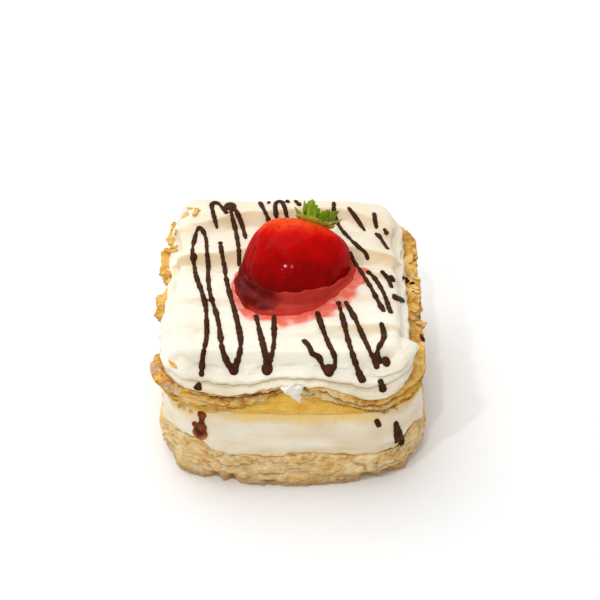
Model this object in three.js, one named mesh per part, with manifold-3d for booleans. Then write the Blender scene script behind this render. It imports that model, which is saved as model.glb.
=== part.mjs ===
// A square mille feuille slice: two flaky pastry sheets with a cream filling between them,
// piped cream on top with chocolate drizzle, and a glazed strawberry in the middle.
// Millimetres, +Z up, the front of the slice towards -Y, resting on z = 0.

import * as THREE from 'three';
import { mergeVertices } from 'three/addons/utils/BufferGeometryUtils.js';
import Module from 'manifold-3d';

const wasm = await Module();
wasm.setup();

// ---------------------------------------------------------------- driving dimensions

const WIDTH = 104; // whole slice, left to right
const DEPTH = 106; // whole slice, front to back
const SHEET_BASE = 12; // top of the bottom pastry sheet
const FILLING_TOP = 33; // top of the cream filling
const SHEET_TOP = 45; // top of the upper pastry sheet
const CREAM_TOP = 57; // crest of the piped cream
const GAP = 0.4; // clearance between touching layers

// Footprints: how far each outline stays inside the whole, on its four sides, and its corner radius.
const FLOOR_FOOT = foot(3, 3, 2.5, 3.5, 28);
const BASE_FOOT = foot(2.2, 2.2, 1.5, 2, 26);
const FILLING_FOOT = foot(4.5, 4.5, 5, 3.5, 19);
const CREAM_FOOT = foot(4.5, 9, 4.5, 2.5, 13);
const CREST_FOOT = foot(7.5, 12.5, 11, 3, 11);

const CELLS_X = 18; // grid cells of the piped surface, left to right
const CELLS_Y = 26; // and front to back

const CORNER_LIFT = 6.5; // how far the corners of the bottom sheet curl up
const FRONT_FADE = 26; // the sags of the upper sheet die out this far behind its front edge
const SAGS = [
  { centre: -24, halfWidth: 24, depth: 5 },
  { centre: 31, halfWidth: 27, depth: 8 },
];

// The valleys between the piped ropes of cream: y at x = -45, -15, 15 and 45.
const VALLEY_AT = [-45, -15, 15, 45];
const VALLEYS = [
  [-27, -29, -29, -27],
  [-12, -11, -10, -12],
  [2, 4, 4, 3],
  [14, 17, 18, 14],
  [28, 41, 41, 31],
];
const VALLEY_DEPTH = 2.6;
const EDGE_ROUND = 7; // width of the rounded shoulder round the piped surface
const EDGE_DROP = 2.2; // and how far it falls

const BERRY = {
  centre: [1.6, 4.2, CREAM_TOP - 1.8],
  length: 43,
  radius: 19.3,
  squash: 0.93, // height over width
  yaw: 6, // degrees, crown turned from straight back towards +X
  pitch: 16, // degrees, crown raised
  crownAside: 4.6, // the crown sits this far to the right of the berry's axis
  sunk: 2.5, // how far its underside lies below the crest of the cream
};
// Berry radius along its axis, from the tip (0) to the crown (1), as shares of the largest radius.
const BERRY_PROFILE = [
  [0, 0], [0.015, 0.28], [0.07, 0.54], [0.16, 0.74], [0.28, 0.88], [0.42, 0.96],
  [0.58, 1], [0.74, 1.01], [0.86, 0.98], [0.94, 0.87], [0.985, 0.66], [0.995, 0.42], [0.965, 0],
];
const BERRY_SIDES = 26;
const CROWN_DEPTH = 0.48; // from the berry's middle to where the stalk was, as a share of its length

const DRIZZLE_WIDTH = 2.6;
const DRIZZLE_RISE = 0.9; // how far a stroke stands proud of the cream
const DRIZZLE_SUNK = 0.5; // and how far it lies below its face
const DRIZZLE_STEP = 10; // length of a straight stretch of a stroke
const END_TAPER = 0.75; // width of a stroke's ends, as a share of its width
const DROP_RISE = 1.1;
const DRIP_RISE = 1.3;
const DRIP_TURN = 20; // degrees
const BALL_SIDES = 8;
const POUR_HEIGHT = 60; // the chocolate starts this far up the stream
const WELD = 0.02; // points of a fused body closer than this become one
const POUR_SLANT = rad(40); // how steeply the poured chocolate falls, from level, towards the back
const STREAM = new THREE.Vector3(0, Math.cos(POUR_SLANT), -Math.sin(POUR_SLANT));

// ---------------------------------------------------------------- small helpers

function rad(degrees) {
  return (degrees * Math.PI) / 180;
}

function clamp(value, low, high) {
  return Math.min(Math.max(value, low), high);
}

function mix(a, b, t) {
  return a + (b - a) * t;
}

function smooth(low, high, value) {
  const t = clamp((value - low) / (high - low), 0, 1);
  return t * t * (3 - 2 * t);
}

// A repeatable share of a turn for a wave of a seeded wobble.
function phase(seed, wave) {
  const value = Math.sin(seed * 12.9898 + wave * 78.233) * 43758.5453;
  return value - Math.floor(value);
}

// Smooth unevenness round a closed outline: t goes from 0 to 1, and the result stays within about -1..1.
function wobble(t, seed, waves) {
  let sum = 0;
  for (const wave of waves) {
    sum += Math.sin(2 * Math.PI * (wave * t + phase(seed, wave)));
  }
  return sum / Math.sqrt(waves.length * 2);
}

function foot(left, right, front, back, radius) {
  return {
    left: left - WIDTH / 2,
    right: WIDTH / 2 - right,
    front: front - DEPTH / 2,
    back: DEPTH / 2 - back,
    radius,
  };
}

// A value eased between samples that are evenly spaced along x.
function easedBetween(xs, ys, x) {
  const last = xs.length - 1;
  const t = clamp((x - xs[0]) / (xs[last] - xs[0]), 0, 1) * last;
  const i = Math.min(Math.floor(t), last - 1);
  return mix(ys[i], ys[i + 1], smooth(0, 1, t - i));
}

// ---------------------------------------------------------------- outlines

// Points of the unit square's rim, anticlockwise seen from above, from the front left corner.
function squareRim() {
  const rim = [];
  for (let i = 0; i < CELLS_X; i += 1) {
    rim.push([-1 + (2 * i) / CELLS_X, -1]);
  }
  for (let j = 0; j < CELLS_Y; j += 1) {
    rim.push([1, -1 + (2 * j) / CELLS_Y]);
  }
  for (let i = 0; i < CELLS_X; i += 1) {
    rim.push([1 - (2 * i) / CELLS_X, 1]);
  }
  for (let j = 0; j < CELLS_Y; j += 1) {
    rim.push([-1, 1 - (2 * j) / CELLS_Y]);
  }
  return rim;
}

const RIM = squareRim();

// A point of the unit square carried to a footprint with round corners, with the outward direction there.
function onRim(shape, [a, b]) {
  const centreX = (shape.left + shape.right) / 2;
  const centreY = (shape.front + shape.back) / 2;
  const halfX = (shape.right - shape.left) / 2;
  const halfY = (shape.back - shape.front) / 2;
  const coreX = clamp(a * halfX, shape.radius - halfX, halfX - shape.radius);
  const coreY = clamp(b * halfY, shape.radius - halfY, halfY - shape.radius);
  const away = new THREE.Vector2(a * halfX - coreX, b * halfY - coreY).normalize();
  return {
    x: centreX + coreX + away.x * shape.radius,
    y: centreY + coreY + away.y * shape.radius,
    away,
  };
}

// A ring of the footprint shrunk towards its middle, with every step-th point kept.
function shrunkRing(shape, share, step, height) {
  const centreX = (shape.left + shape.right) / 2;
  const centreY = (shape.front + shape.back) / 2;
  const ring = [];
  for (let i = 0; i < RIM.length; i += step) {
    const edge = onRim(shape, RIM[i]);
    const x = mix(centreX, edge.x, share);
    const y = mix(centreY, edge.y, share);
    ring.push([x, y, height(x, y)]);
  }
  return ring;
}

// ---------------------------------------------------------------- heights of the layers' faces

function floorHeight() {
  return 0;
}

function baseHeight(x, y) {
  const side = Math.max(smooth(-28, -36, x), smooth(38, 45, x));
  const curl = CORNER_LIFT * side * smooth(26, 40, Math.abs(y));
  const waves = 0.7 * Math.sin(x / 6.5) * smooth(20, 45, Math.abs(y)) + 0.5 * Math.sin(y / 9);
  return SHEET_BASE + curl + waves;
}

function fillingHeight(x, y) {
  return FILLING_TOP + 0.6 * Math.sin(x / 11 + 1) * Math.cos(y / 13);
}

function sheetHeight(x, y) {
  const near = smooth(FRONT_FADE, 0, y - CREAM_FOOT.front);
  let sag = 0;
  for (const { centre, halfWidth, depth } of SAGS) {
    const t = clamp((x - centre) / halfWidth, -1, 1);
    sag += depth * Math.cos((Math.PI / 2) * t) ** 2;
  }
  return SHEET_TOP + 1.5 * near - sag * near + 0.5 * Math.sin(y / 8) * (1 - near);
}

// Crests and valleys of the piped cream: a rope between each two valley lines, round on top.
function creamHeight(x, y) {
  const lines = VALLEYS.map((line) => easedBetween(VALLEY_AT, line, x));
  const sides = [CREST_FOOT.front - 1, ...lines, CREST_FOOT.back + 1];
  let rope = 0;
  for (let i = 0; i + 1 < sides.length; i += 1) {
    if (y >= sides[i] && y < sides[i + 1]) {
      const t = (2 * (y - sides[i])) / (sides[i + 1] - sides[i]) - 1;
      rope = Math.sqrt(1 - Math.abs(t) ** 2.6);
    }
  }
  const smeared = smooth(-34, -42, x) * smooth(-12, -26, y);
  const valley = VALLEY_DEPTH * (1 - rope) * (1 - 0.85 * smeared);
  const inside = Math.min(
    x - CREST_FOOT.left,
    CREST_FOOT.right - x,
    y - CREST_FOOT.front,
    CREST_FOOT.back - y,
  );
  const shoulder = EDGE_DROP * (1 - Math.sqrt(1 - (1 - clamp(inside / EDGE_ROUND, 0, 1)) ** 2));
  const sway = 0.5 * Math.sin(x / 9 + 0.7) + 0.4 * Math.sin(y / 17 + x / 23);
  return CREAM_TOP - valley - shoulder + sway;
}

// ---------------------------------------------------------------- closed bodies from rings

class Body {
  constructor() {
    this.points = [];
    this.faces = [];
  }

  add(points) {
    const first = this.points.length;
    this.points.push(...points);
    return points.map((point, i) => first + i);
  }

  // The band between two rings; the upper one has as many points as the lower, or half as many.
  band(lower, upper) {
    const count = lower.length;
    const step = count / upper.length;
    for (let i = 0; i < count; i += step) {
      const a = lower[i];
      const b = lower[(i + 1) % count];
      const k = upper[i / step];
      const next = upper[(i / step + 1) % upper.length];
      if (step === 2) {
        const c = lower[(i + 2) % count];
        this.faces.push([a, b, k], [b, next, k], [b, c, next]);
      } else {
        this.faces.push([a, b, next], [a, next, k]);
      }
    }
  }

  fan(ring, middle) {
    const [tip] = this.add([middle]);
    ring.forEach((index, i) => this.faces.push([index, ring[(i + 1) % ring.length], tip]));
  }

  // Nested rings from the rim to the middle; flip turns the faces down.
  cap(rings, middle, flip) {
    const from = this.faces.length;
    for (let i = 0; i + 1 < rings.length; i += 1) {
      this.band(rings[i], rings[i + 1]);
    }
    this.fan(rings[rings.length - 1], middle);
    if (flip) {
      for (let i = from; i < this.faces.length; i += 1) {
        this.faces[i].reverse();
      }
    }
  }

  solid() {
    return new wasm.Manifold(
      new wasm.Mesh({
        numProp: 3,
        vertProperties: Float32Array.from(this.points.flat()),
        triVerts: Uint32Array.from(this.faces.flat()),
      }),
    );
  }
}

const CAP_RINGS = [
  [0.92, 2], [0.75, 2], [0.5, 4], [0.25, 8],
];

// A flat-lying face of a layer inside the given rim ring.
function layerCap(body, rim, shape, height, flip) {
  const rings = [rim];
  for (const [share, step] of CAP_RINGS) {
    rings.push(body.add(shrunkRing(shape, share, step, height)));
  }
  const x = (shape.left + shape.right) / 2;
  const y = (shape.front + shape.back) / 2;
  body.cap(rings, [x, y, height(x, y)], flip);
}

// The side of a layer: levels between its lower and upper rims, each pushed out by its own amount.
function layerWall(body, lower, upper, levels) {
  let below = body.add(RIM.map((spot) => facePoint(lower, spot)));
  const first = below;
  levels.forEach(({ at, out }) => {
    const ring = RIM.map((spot, i) => {
      const low = onRim(lower.foot, spot);
      const high = onRim(upper.foot, spot);
      const push = out(i / RIM.length, mix(low.x, high.x, at), mix(low.y, high.y, at));
      return [
        mix(low.x, high.x, at) + push * mix(low.away.x, high.away.x, at),
        mix(low.y, high.y, at) + push * mix(low.away.y, high.away.y, at),
        mix(lower.height(low.x, low.y), upper.height(high.x, high.y), at),
      ];
    });
    const indices = body.add(ring);
    body.band(below, indices);
    below = indices;
  });
  const last = body.add(RIM.map((spot) => facePoint(upper, spot)));
  body.band(below, last);
  return { first, last };
}

function facePoint(face, spot) {
  const { x, y } = onRim(face.foot, spot);
  return [x, y, face.height(x, y)];
}

// A face of a layer, moved by half the clearance away from its neighbour.
function face(shape, height, offset) {
  return { foot: shape, height: (x, y) => height(x, y) + offset };
}

// ---------------------------------------------------------------- the four layers

const FLAKE_WAVES = [3, 7, 13, 19, 26]; // waves round the rim of a ragged leaf
const SOFT_WAVES = [2, 3, 5]; // and of soft cream
const FLAKE_ROUGHNESS = 0.55;
const CREAM_ROUGHNESS = 0.5;
const SIDE_FLARE = 6; // how far the right side of the upper sheet stands out at its top

// Levels of a flaky edge: leaves of pastry stand out and the splits between them lie back.
function flakyLevels(count, reach, depth, seed) {
  const levels = [];
  for (let i = 1; i <= count; i += 1) {
    const at = i / (count + 1);
    const belly = reach * Math.sin(Math.PI * at) ** 0.6;
    const leaf = i % 2 ? 0 : -depth;
    levels.push({ at, out: (t) => belly + leaf + FLAKE_ROUGHNESS * wobble(t, seed + i, FLAKE_WAVES) });
  }
  return levels;
}

function pastryBottom() {
  const body = new Body();
  const lower = face(FLOOR_FOOT, floorHeight, 0);
  const upper = face(BASE_FOOT, baseHeight, -GAP / 2);
  const { first, last } = layerWall(body, lower, upper, flakyLevels(7, 1.9, 1, 1));
  body.cap([first], [0, 0, 0], true);
  layerCap(body, last, BASE_FOOT, upper.height, false);
  return body.solid();
}

function creamFilling() {
  const body = new Body();
  const lower = face(BASE_FOOT, baseHeight, GAP / 2);
  const upper = face(FILLING_FOOT, fillingHeight, -GAP / 2);
  const levels = [0.12, 0.35, 0.65, 0.88].map((at, i) => ({
    at,
    out: (t) => 0.9 * Math.sin(Math.PI * at) - 0.5 + CREAM_ROUGHNESS * wobble(t, 20 + i, SOFT_WAVES),
  }));
  const { first, last } = layerWall(body, lower, upper, levels);
  layerCap(body, first, BASE_FOOT, lower.height, true);
  layerCap(body, last, FILLING_FOOT, upper.height, false);
  let solid = body.solid();
  for (const run of DRIPS) {
    solid = solid.add(drip(solid, run));
  }
  return solid;
}

function pastryTop() {
  const body = new Body();
  const lower = face(FILLING_FOOT, fillingHeight, GAP / 2);
  const upper = face(CREAM_FOOT, sheetHeight, -GAP / 2);
  const levels = flakyLevels(6, 2.4, 1.1, 40).map(({ at, out }) => ({
    at,
    out: (t, x, y) => out(t) + SIDE_FLARE * at * smooth(20, 40, x) * smooth(-46, -34, y),
  }));
  levels[levels.length - 1].at = 0.97;
  const { first, last } = layerWall(body, lower, upper, levels);
  layerCap(body, first, FILLING_FOOT, lower.height, true);
  layerCap(body, last, CREAM_FOOT, upper.height, false);
  return body.solid();
}

// The sides of the piped cream, from the pastry up: share of the height, distance pushed out.
const CREAM_SIDE = [
  [0.1, 0.9], [0.24, 0.9], [0.34, -0.5], [0.46, 1], [0.62, 1.6], [0.76, 0.2], [0.86, -0.2],
];

function creamLayer() {
  const body = new Body();
  const lower = face(CREAM_FOOT, sheetHeight, GAP / 2);
  const upper = face(CREST_FOOT, creamHeight, 0);
  const levels = CREAM_SIDE.map(([at, push], i) => ({
    at,
    out: (t, x, y) => {
      const smeared = smooth(-30, -42, x) * smooth(0, -20, y);
      const waves = CREAM_ROUGHNESS * wobble(t, 60 + (i >> 1), SOFT_WAVES);
      return push + 2 * smeared * Math.sin(Math.PI * at) + waves;
    },
  }));
  const { first, last } = layerWall(body, lower, upper, levels);
  layerCap(body, first, CREAM_FOOT, lower.height, true);
  pipedFace(body, last);
  return body.solid();
}

// The piped surface: a grid inside the rim ring.
function pipedFace(body, rim) {
  const centreX = (CREST_FOOT.left + CREST_FOOT.right) / 2;
  const centreY = (CREST_FOOT.front + CREST_FOOT.back) / 2;
  const index = new Map();
  RIM.forEach((spot, i) => index.set(gridKey(spot), rim[i]));
  const at = (i, j) => {
    const spot = [-1 + (2 * i) / CELLS_X, -1 + (2 * j) / CELLS_Y];
    const key = gridKey(spot);
    if (!index.has(key)) {
      const share = Math.max(Math.abs(spot[0]), Math.abs(spot[1]));
      const edge = share > 0 ? onRim(CREST_FOOT, spot.map((value) => value / share)) : { x: 0, y: 0 };
      const x = mix(centreX, edge.x, share);
      const y = mix(centreY, edge.y, share);
      index.set(key, body.add([[x, y, creamHeight(x, y)]])[0]);
    }
    return index.get(key);
  };
  for (let i = 0; i < CELLS_X; i += 1) {
    for (let j = 0; j < CELLS_Y; j += 1) {
      const corners = [at(i, j), at(i + 1, j), at(i + 1, j + 1), at(i, j + 1)];
      const [a, b, c, d] = (i < CELLS_X / 2) === (j < CELLS_Y / 2)
        ? [corners[1], corners[2], corners[3], corners[0]]
        : corners;
      body.faces.push([a, b, c], [a, c, d]);
    }
  }
}

function gridKey([a, b]) {
  return `${Math.round(a * CELLS_X)},${Math.round(b * CELLS_Y)}`;
}

// ---------------------------------------------------------------- drizzle and drips

// The strokes as drawn on a level sheet at the crest of the cream, before they fall on it: x, y.
const STROKES = [
  [[-33.7, -59], [-32.8, -46], [-31.6, -31], [-33, -13], [-37, 3], [-38.8, 15], [-38.7, 24], [-37, 33],
    [-34.2, 26], [-32.9, 12], [-31.9, -3], [-30.3, -12], [-27.6, -24], [-25.5, -40], [-22, -51],
    [-19.8, -45], [-19, -37], [-20.2, -26], [-24, -7], [-26, 5], [-28.5, 24]],
  [[-29.8, 31], [-31.6, 39], [-32.6, 44.5], [-29, 43.5], [-26, 41]],
  [[-24.6, 44], [-22.8, 32], [-21, 20], [-20.8, 8]],
  [[-22.4, 44], [-20.2, 37], [-18.2, 22]],
  [[-13.8, -20], [-11.4, -34], [-9.8, -43], [-9.2, -49], [-7.6, -43], [-6.8, -35], [-7, -18]],
  [[-13.4, 45.5], [-12, 42], [-8.8, 34]],
  [[-6.3, 36], [-7.4, 43], [-5.3, 45.5], [-3.3, 42], [-1.8, 34]],
  [[0.4, 45.5], [4, 39]],
  [[3.6, -34], [6, -38], [7.2, -42], [9.6, -44], [11, -49], [13, -51.5], [15, -50], [15.4, -44],
    [13, -36], [10.6, -26], [9, -18]],
  [[17, -12], [19, -25], [21, -38], [24, -52], [26, -59]],
  [[19.5, -12], [23.3, -23], [28, -40], [31.2, -51]],
  [[32.6, -24], [33.6, -32], [31, -40], [31.8, -46.5], [33.8, -46.5]],
  [[31.8, -56], [32.8, -61.5]],
  [[16.6, 45.5], [16.9, 40], [18.3, 32], [21.5, 27.5], [25, 21], [28, 17], [29.2, 12]],
  [[20, 45.5], [23, 43], [26, 37], [29, 30]],
  [[32.4, 42], [33.6, 32], [35.6, 24], [37.3, 16]],
  [[21.5, 18], [24.2, 10], [28.7, -2], [31.3, -10], [34.2, -19]],
  [[28, 6], [31, 1.5], [34.2, -7.5], [36.8, -20]],
  [[33.6, 6], [36.2, 1], [37.6, -5]],
];

// Round drops where a stroke turned: x, y, radius.
const DROPS = [
  [-23.6, 44.2, 3.2], [-38.4, 14, 1.6], [-21.5, -51, 2], [-9.2, -50, 2.2], [13.2, -51.5, 2], [34, -46.5, 1.8],
];

// Chocolate that ran down the front of the filling: x, upper and lower height, width.
const DRIPS = [
  { x: -38.5, top: 31, bottom: 20.5, width: 6 },
  { x: 33.5, top: 27.5, bottom: 13.5, width: 4.6 },
];

function raycastMesh(solid) {
  return new THREE.Mesh(geometryOf(solid), new THREE.MeshStandardMaterial());
}

function firstHit(target, origin, direction) {
  const ray = new THREE.Raycaster(origin, direction);
  return ray.intersectObject(target)[0];
}

// A low bead along points that lie on a surface, half sunk in it.
function bead(path, width, rise) {
  const body = new Body();
  const rings = path.map(({ point, normal }, i) => {
    const before = path[Math.max(i - 1, 0)].point;
    const after = path[Math.min(i + 1, path.length - 1)].point;
    const along = after.clone().sub(before).normalize();
    const side = normal.clone().cross(along).normalize();
    const half = (width / 2) * (i % (path.length - 1) ? 1 : END_TAPER);
    const corner = (across, up) => point.clone()
      .addScaledVector(side, across * half)
      .addScaledVector(normal, up)
      .toArray();
    return body.add([corner(-1, -DRIZZLE_SUNK), corner(1, -DRIZZLE_SUNK), corner(0, rise)]);
  });
  for (let i = 0; i + 1 < rings.length; i += 1) {
    body.band(rings[i], rings[i + 1]);
  }
  const [start, end] = [rings[0], rings[rings.length - 1]];
  for (let i = 1; i + 1 < start.length; i += 1) {
    body.faces.push([start[0], start[i + 1], start[i]], [end[0], end[i], end[i + 1]]);
  }
  return body.solid();
}

function strokeOn(target, stroke) {
  const curve = new THREE.CatmullRomCurve3(stroke.map(([x, y]) => new THREE.Vector3(x, y, CREAM_TOP)));
  const steps = Math.max(2, Math.round(curve.getLength() / DRIZZLE_STEP));
  const path = [];
  for (const spot of curve.getSpacedPoints(steps)) {
    const hit = firstHit(target, spot.addScaledVector(STREAM, -POUR_HEIGHT), STREAM);
    if (hit) {
      path.push({ point: hit.point, normal: hit.face.normal.clone() });
    }
  }
  const softened = path.map(({ point }, i) => {
    const normal = new THREE.Vector3();
    for (let k = Math.max(i - 1, 0); k <= Math.min(i + 1, path.length - 1); k += 1) {
      normal.add(path[k].normal);
    }
    return { point, normal: normal.normalize() };
  });
  return bead(softened, DRIZZLE_WIDTH, DRIZZLE_RISE);
}

function dropOn(target, [x, y, radius]) {
  const origin = new THREE.Vector3(x, y, CREAM_TOP).addScaledVector(STREAM, -POUR_HEIGHT);
  const { point, face: { normal } } = firstHit(target, origin, STREAM);
  const geometry = new THREE.SphereGeometry(1, BALL_SIDES, 4);
  geometry.rotateX(Math.PI / 2);
  geometry.scale(radius, radius, DROP_RISE);
  geometry.applyQuaternion(new THREE.Quaternion().setFromUnitVectors(new THREE.Vector3(0, 0, 1), normal));
  geometry.translate(...point.toArray());
  return solidOf(geometry);
}

// A flat drop on the front of the filling, turned with the round of the corner that it is near.
function drip(filling, { x, top, bottom, width }) {
  const height = top - bottom;
  const turn = Math.sign(x) * rad(DRIP_TURN);
  const target = raycastMesh(filling);
  const origin = new THREE.Vector3(x, -DEPTH, (top + bottom) / 2);
  const { point } = firstHit(target, origin, new THREE.Vector3(0, 1, 0));
  const geometry = new THREE.SphereGeometry(1, BALL_SIDES, 6);
  geometry.scale(width / 2, DRIP_RISE, height / 2);
  geometry.rotateZ(turn);
  geometry.translate(...point.toArray());
  return solidOf(geometry);
}

// ---------------------------------------------------------------- strawberry, glaze and calyx

// The whole berry as a turned form, its axis laid down, larger all round by extra.
function berryForm(extra) {
  const profile = BERRY_PROFILE.map(([along, share]) => new THREE.Vector2(
    share * (BERRY.radius + extra),
    (along - 0.5) * (BERRY.length + 2 * extra),
  ));
  const geometry = new THREE.LatheGeometry(profile, BERRY_SIDES);
  geometry.rotateX(rad(BERRY.pitch));
  geometry.rotateZ(-rad(BERRY.yaw));
  geometry.scale(1, 1, BERRY.squash);
  geometry.translate(...BERRY.centre);
  return solidOf(geometry);
}

function slab(low, high) {
  const geometry = new THREE.BoxGeometry(WIDTH * 2, DEPTH * 2, high - low);
  geometry.translate(0, 0, (low + high) / 2);
  return solidOf(geometry);
}

function strawberry() {
  return berryForm(0).intersect(slab(CREAM_TOP - BERRY.sunk, CREAM_TOP * 2));
}

// The berry and the room round it, cut off level below: what the glaze and the cream leave free.
function berrySeat() {
  return berryForm(GAP).intersect(slab(CREAM_TOP - BERRY.sunk - GAP, CREAM_TOP * 2));
}

const GLAZE = {
  centre: [2.5, 3],
  low: CREAM_TOP - 2.2,
  high: CREAM_TOP + 1.8,
  sides: 36,
  // How far the pool reaches from its centre, by degrees anticlockwise from +X.
  reach: [
    [0, 21.5], [30, 23], [60, 24], [90, 24.5], [120, 23], [150, 22], [185, 24.4], [213, 26.8],
    [241, 23.6], [270, 20.4], [292, 17.7], [317, 16.8], [344, 18.8], [360, 21.5],
  ],
};

function glazeReach(degrees) {
  const next = GLAZE.reach.findIndex(([angle]) => angle > degrees);
  const [from, near] = GLAZE.reach[next - 1];
  const [to, far] = GLAZE.reach[next];
  return mix(near, far, smooth(from, to, degrees));
}

// The pool of set glaze round the berry, larger all round by extra: level rings, the upper ones drawn in.
function glazeForm(extra) {
  const levels = [
    [GLAZE.low - extra, -1.5],
    [GLAZE.low + 1.2, 0],
    [mix(GLAZE.low, GLAZE.high, 0.65), -0.6],
    [GLAZE.high + extra, -2.8],
  ];
  const body = new Body();
  const rings = levels.map(([z, grow]) => body.add(
    Array.from({ length: GLAZE.sides }, (unused, i) => {
      const degrees = (360 * i) / GLAZE.sides;
      const reach = glazeReach(degrees) + grow + extra;
      return [
        GLAZE.centre[0] + reach * Math.cos(rad(degrees)),
        GLAZE.centre[1] + reach * Math.sin(rad(degrees)),
        z,
      ];
    }),
  ));
  for (let i = 0; i + 1 < rings.length; i += 1) {
    body.band(rings[i], rings[i + 1]);
  }
  body.cap([rings[0]], [...GLAZE.centre, levels[0][0]], true);
  body.cap([rings[rings.length - 1]], [...GLAZE.centre, levels[levels.length - 1][0]], false);
  return body.solid();
}

function glazePool() {
  return glazeForm(0).subtract(berrySeat());
}

// Sepals of the calyx: turn about the berry's axis from upright, length, width, lean away from the berry.
const SEPALS = [
  { turn: -80, length: 8, width: 5, lean: 8 },
  { turn: -36, length: 12, width: 6.4, lean: 24 },
  { turn: -12, length: 13, width: 6.6, lean: 34 },
  { turn: 12, length: 10, width: 5, lean: 52 },
  { turn: 36, length: 12, width: 6, lean: 30 },
  { turn: 60, length: 12.5, width: 6, lean: 22 },
  { turn: 100, length: 10, width: 5, lean: 4 },
];
const SEPAL_THICK = 0.7;
const SEPAL_ROWS = 3;
const SEPAL_FOLD = 0.9; // how far the edges stand above the midrib
const SEPAL_CURL = 2.2; // how far the tip bends away from the berry
const HUB_RADIUS = 3; // the small disc that the sepals grow from
const HUB_HEIGHT = 0.9;
const CALYX_CLEAR = 1.6; // the lowest sepals end this far above the crest of the cream

// One thin wavy leaf from the origin along +Y, both faces split alike.
function sepal({ length, width }, seed) {
  const body = new Body();
  const sheet = (side) => {
    const rows = [];
    for (let i = 0; i <= SEPAL_ROWS; i += 1) {
      const t = i / SEPAL_ROWS;
      const half = (width / 2) * Math.sin(Math.PI * Math.min(0.12 + 0.88 * t, 0.97)) ** 0.75;
      const row = [-1, 0, 1].map((across) => {
        const fold = SEPAL_FOLD * Math.abs(across) + 0.5 * Math.sin(5 * t + seed) * across;
        return [across * half, length * t, fold + SEPAL_CURL * t * t + side * (SEPAL_THICK / 2)];
      });
      rows.push(body.add(row));
    }
    return rows;
  };
  const top = sheet(1);
  const under = sheet(-1);
  const last = SEPAL_ROWS;
  for (let i = 0; i < last; i += 1) {
    for (let k = 0; k < 2; k += 1) {
      quad(body, top[i][k], top[i][k + 1], top[i + 1][k + 1], top[i + 1][k]);
      quad(body, under[i][k + 1], under[i][k], under[i + 1][k], under[i + 1][k + 1]);
    }
    quad(body, under[i][0], top[i][0], top[i + 1][0], under[i + 1][0]);
    quad(body, top[i][2], under[i][2], under[i + 1][2], top[i + 1][2]);
  }
  for (let k = 0; k < 2; k += 1) {
    quad(body, under[0][k], under[0][k + 1], top[0][k + 1], top[0][k]);
    quad(body, top[last][k], top[last][k + 1], under[last][k + 1], under[last][k]);
  }
  return body;
}

function quad(body, a, b, c, d) {
  body.faces.push([a, b, c], [a, c, d]);
}

function calyx() {
  const crown = crownPoint();
  const hub = new THREE.SphereGeometry(1, BALL_SIDES, 4);
  hub.rotateX(Math.PI / 2);
  hub.scale(HUB_RADIUS, HUB_RADIUS, HUB_HEIGHT);
  let solid = solidOf(hub);
  SEPALS.forEach((leaf, i) => {
    const body = sepal(leaf, i);
    const spread = new THREE.Matrix4().makeRotationZ(rad(leaf.turn));
    const matrix = spread.multiply(new THREE.Matrix4().makeRotationX(rad(leaf.lean)));
    body.points = body.points.map((point) => new THREE.Vector3(...point).applyMatrix4(matrix).toArray());
    solid = solid.add(body.solid());
  });
  const geometry = geometryOf(solid);
  geometry.applyQuaternion(crown.facing);
  geometry.translate(...crown.point.toArray());
  return solidOf(geometry)
    .subtract(berryForm(GAP))
    .intersect(slab(CREAM_TOP + CALYX_CLEAR, CREAM_TOP * 2));
}

// Where the stalk was, and the turn that carries +Z to the way the crown faces and +Y upwards.
function crownPoint() {
  const yaw = rad(BERRY.yaw);
  const pitch = rad(BERRY.pitch);
  const level = new THREE.Vector3(Math.sin(yaw), Math.cos(yaw), 0).multiplyScalar(Math.cos(pitch));
  const axis = level.setZ(Math.sin(pitch));
  const up = new THREE.Vector3(0, 0, 1).addScaledVector(axis, -axis.z).normalize();
  const right = up.clone().cross(axis);
  const facing = new THREE.Quaternion().setFromRotationMatrix(new THREE.Matrix4().makeBasis(right, up, axis));
  const point = axis.clone().multiplyScalar(BERRY.length * CROWN_DEPTH);
  point.z *= BERRY.squash;
  point.add(new THREE.Vector3(...BERRY.centre)).addScaledVector(right, -BERRY.crownAside);
  return { point, facing };
}

// ---------------------------------------------------------------- solids, geometries and meshes

function solidOf(geometry) {
  const bare = new THREE.BufferGeometry();
  bare.setAttribute('position', geometry.getAttribute('position').clone());
  bare.setIndex(geometry.getIndex() ? geometry.getIndex().clone() : null);
  const merged = mergeVertices(bare, 1e-3);
  const triangles = [];
  const index = merged.getIndex().array;
  for (let i = 0; i < index.length; i += 3) {
    const [a, b, c] = [index[i], index[i + 1], index[i + 2]];
    if (a !== b && b !== c && a !== c) {
      triangles.push(a, b, c);
    }
  }
  return new wasm.Manifold(
    new wasm.Mesh({
      numProp: 3,
      vertProperties: merged.getAttribute('position').array,
      triVerts: Uint32Array.from(triangles),
    }),
  );
}

function geometryOf(solid) {
  const { vertProperties, triVerts, numProp } = solid.getMesh();
  const positions = new Float32Array((vertProperties.length / numProp) * 3);
  for (let i = 0; i * numProp < vertProperties.length; i += 1) {
    positions.set(vertProperties.subarray(i * numProp, i * numProp + 3), i * 3);
  }
  const geometry = new THREE.BufferGeometry();
  geometry.setAttribute('position', new THREE.BufferAttribute(positions, 3));
  geometry.setIndex(new THREE.BufferAttribute(Uint32Array.from(triVerts), 1));
  return geometry;
}

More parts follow.
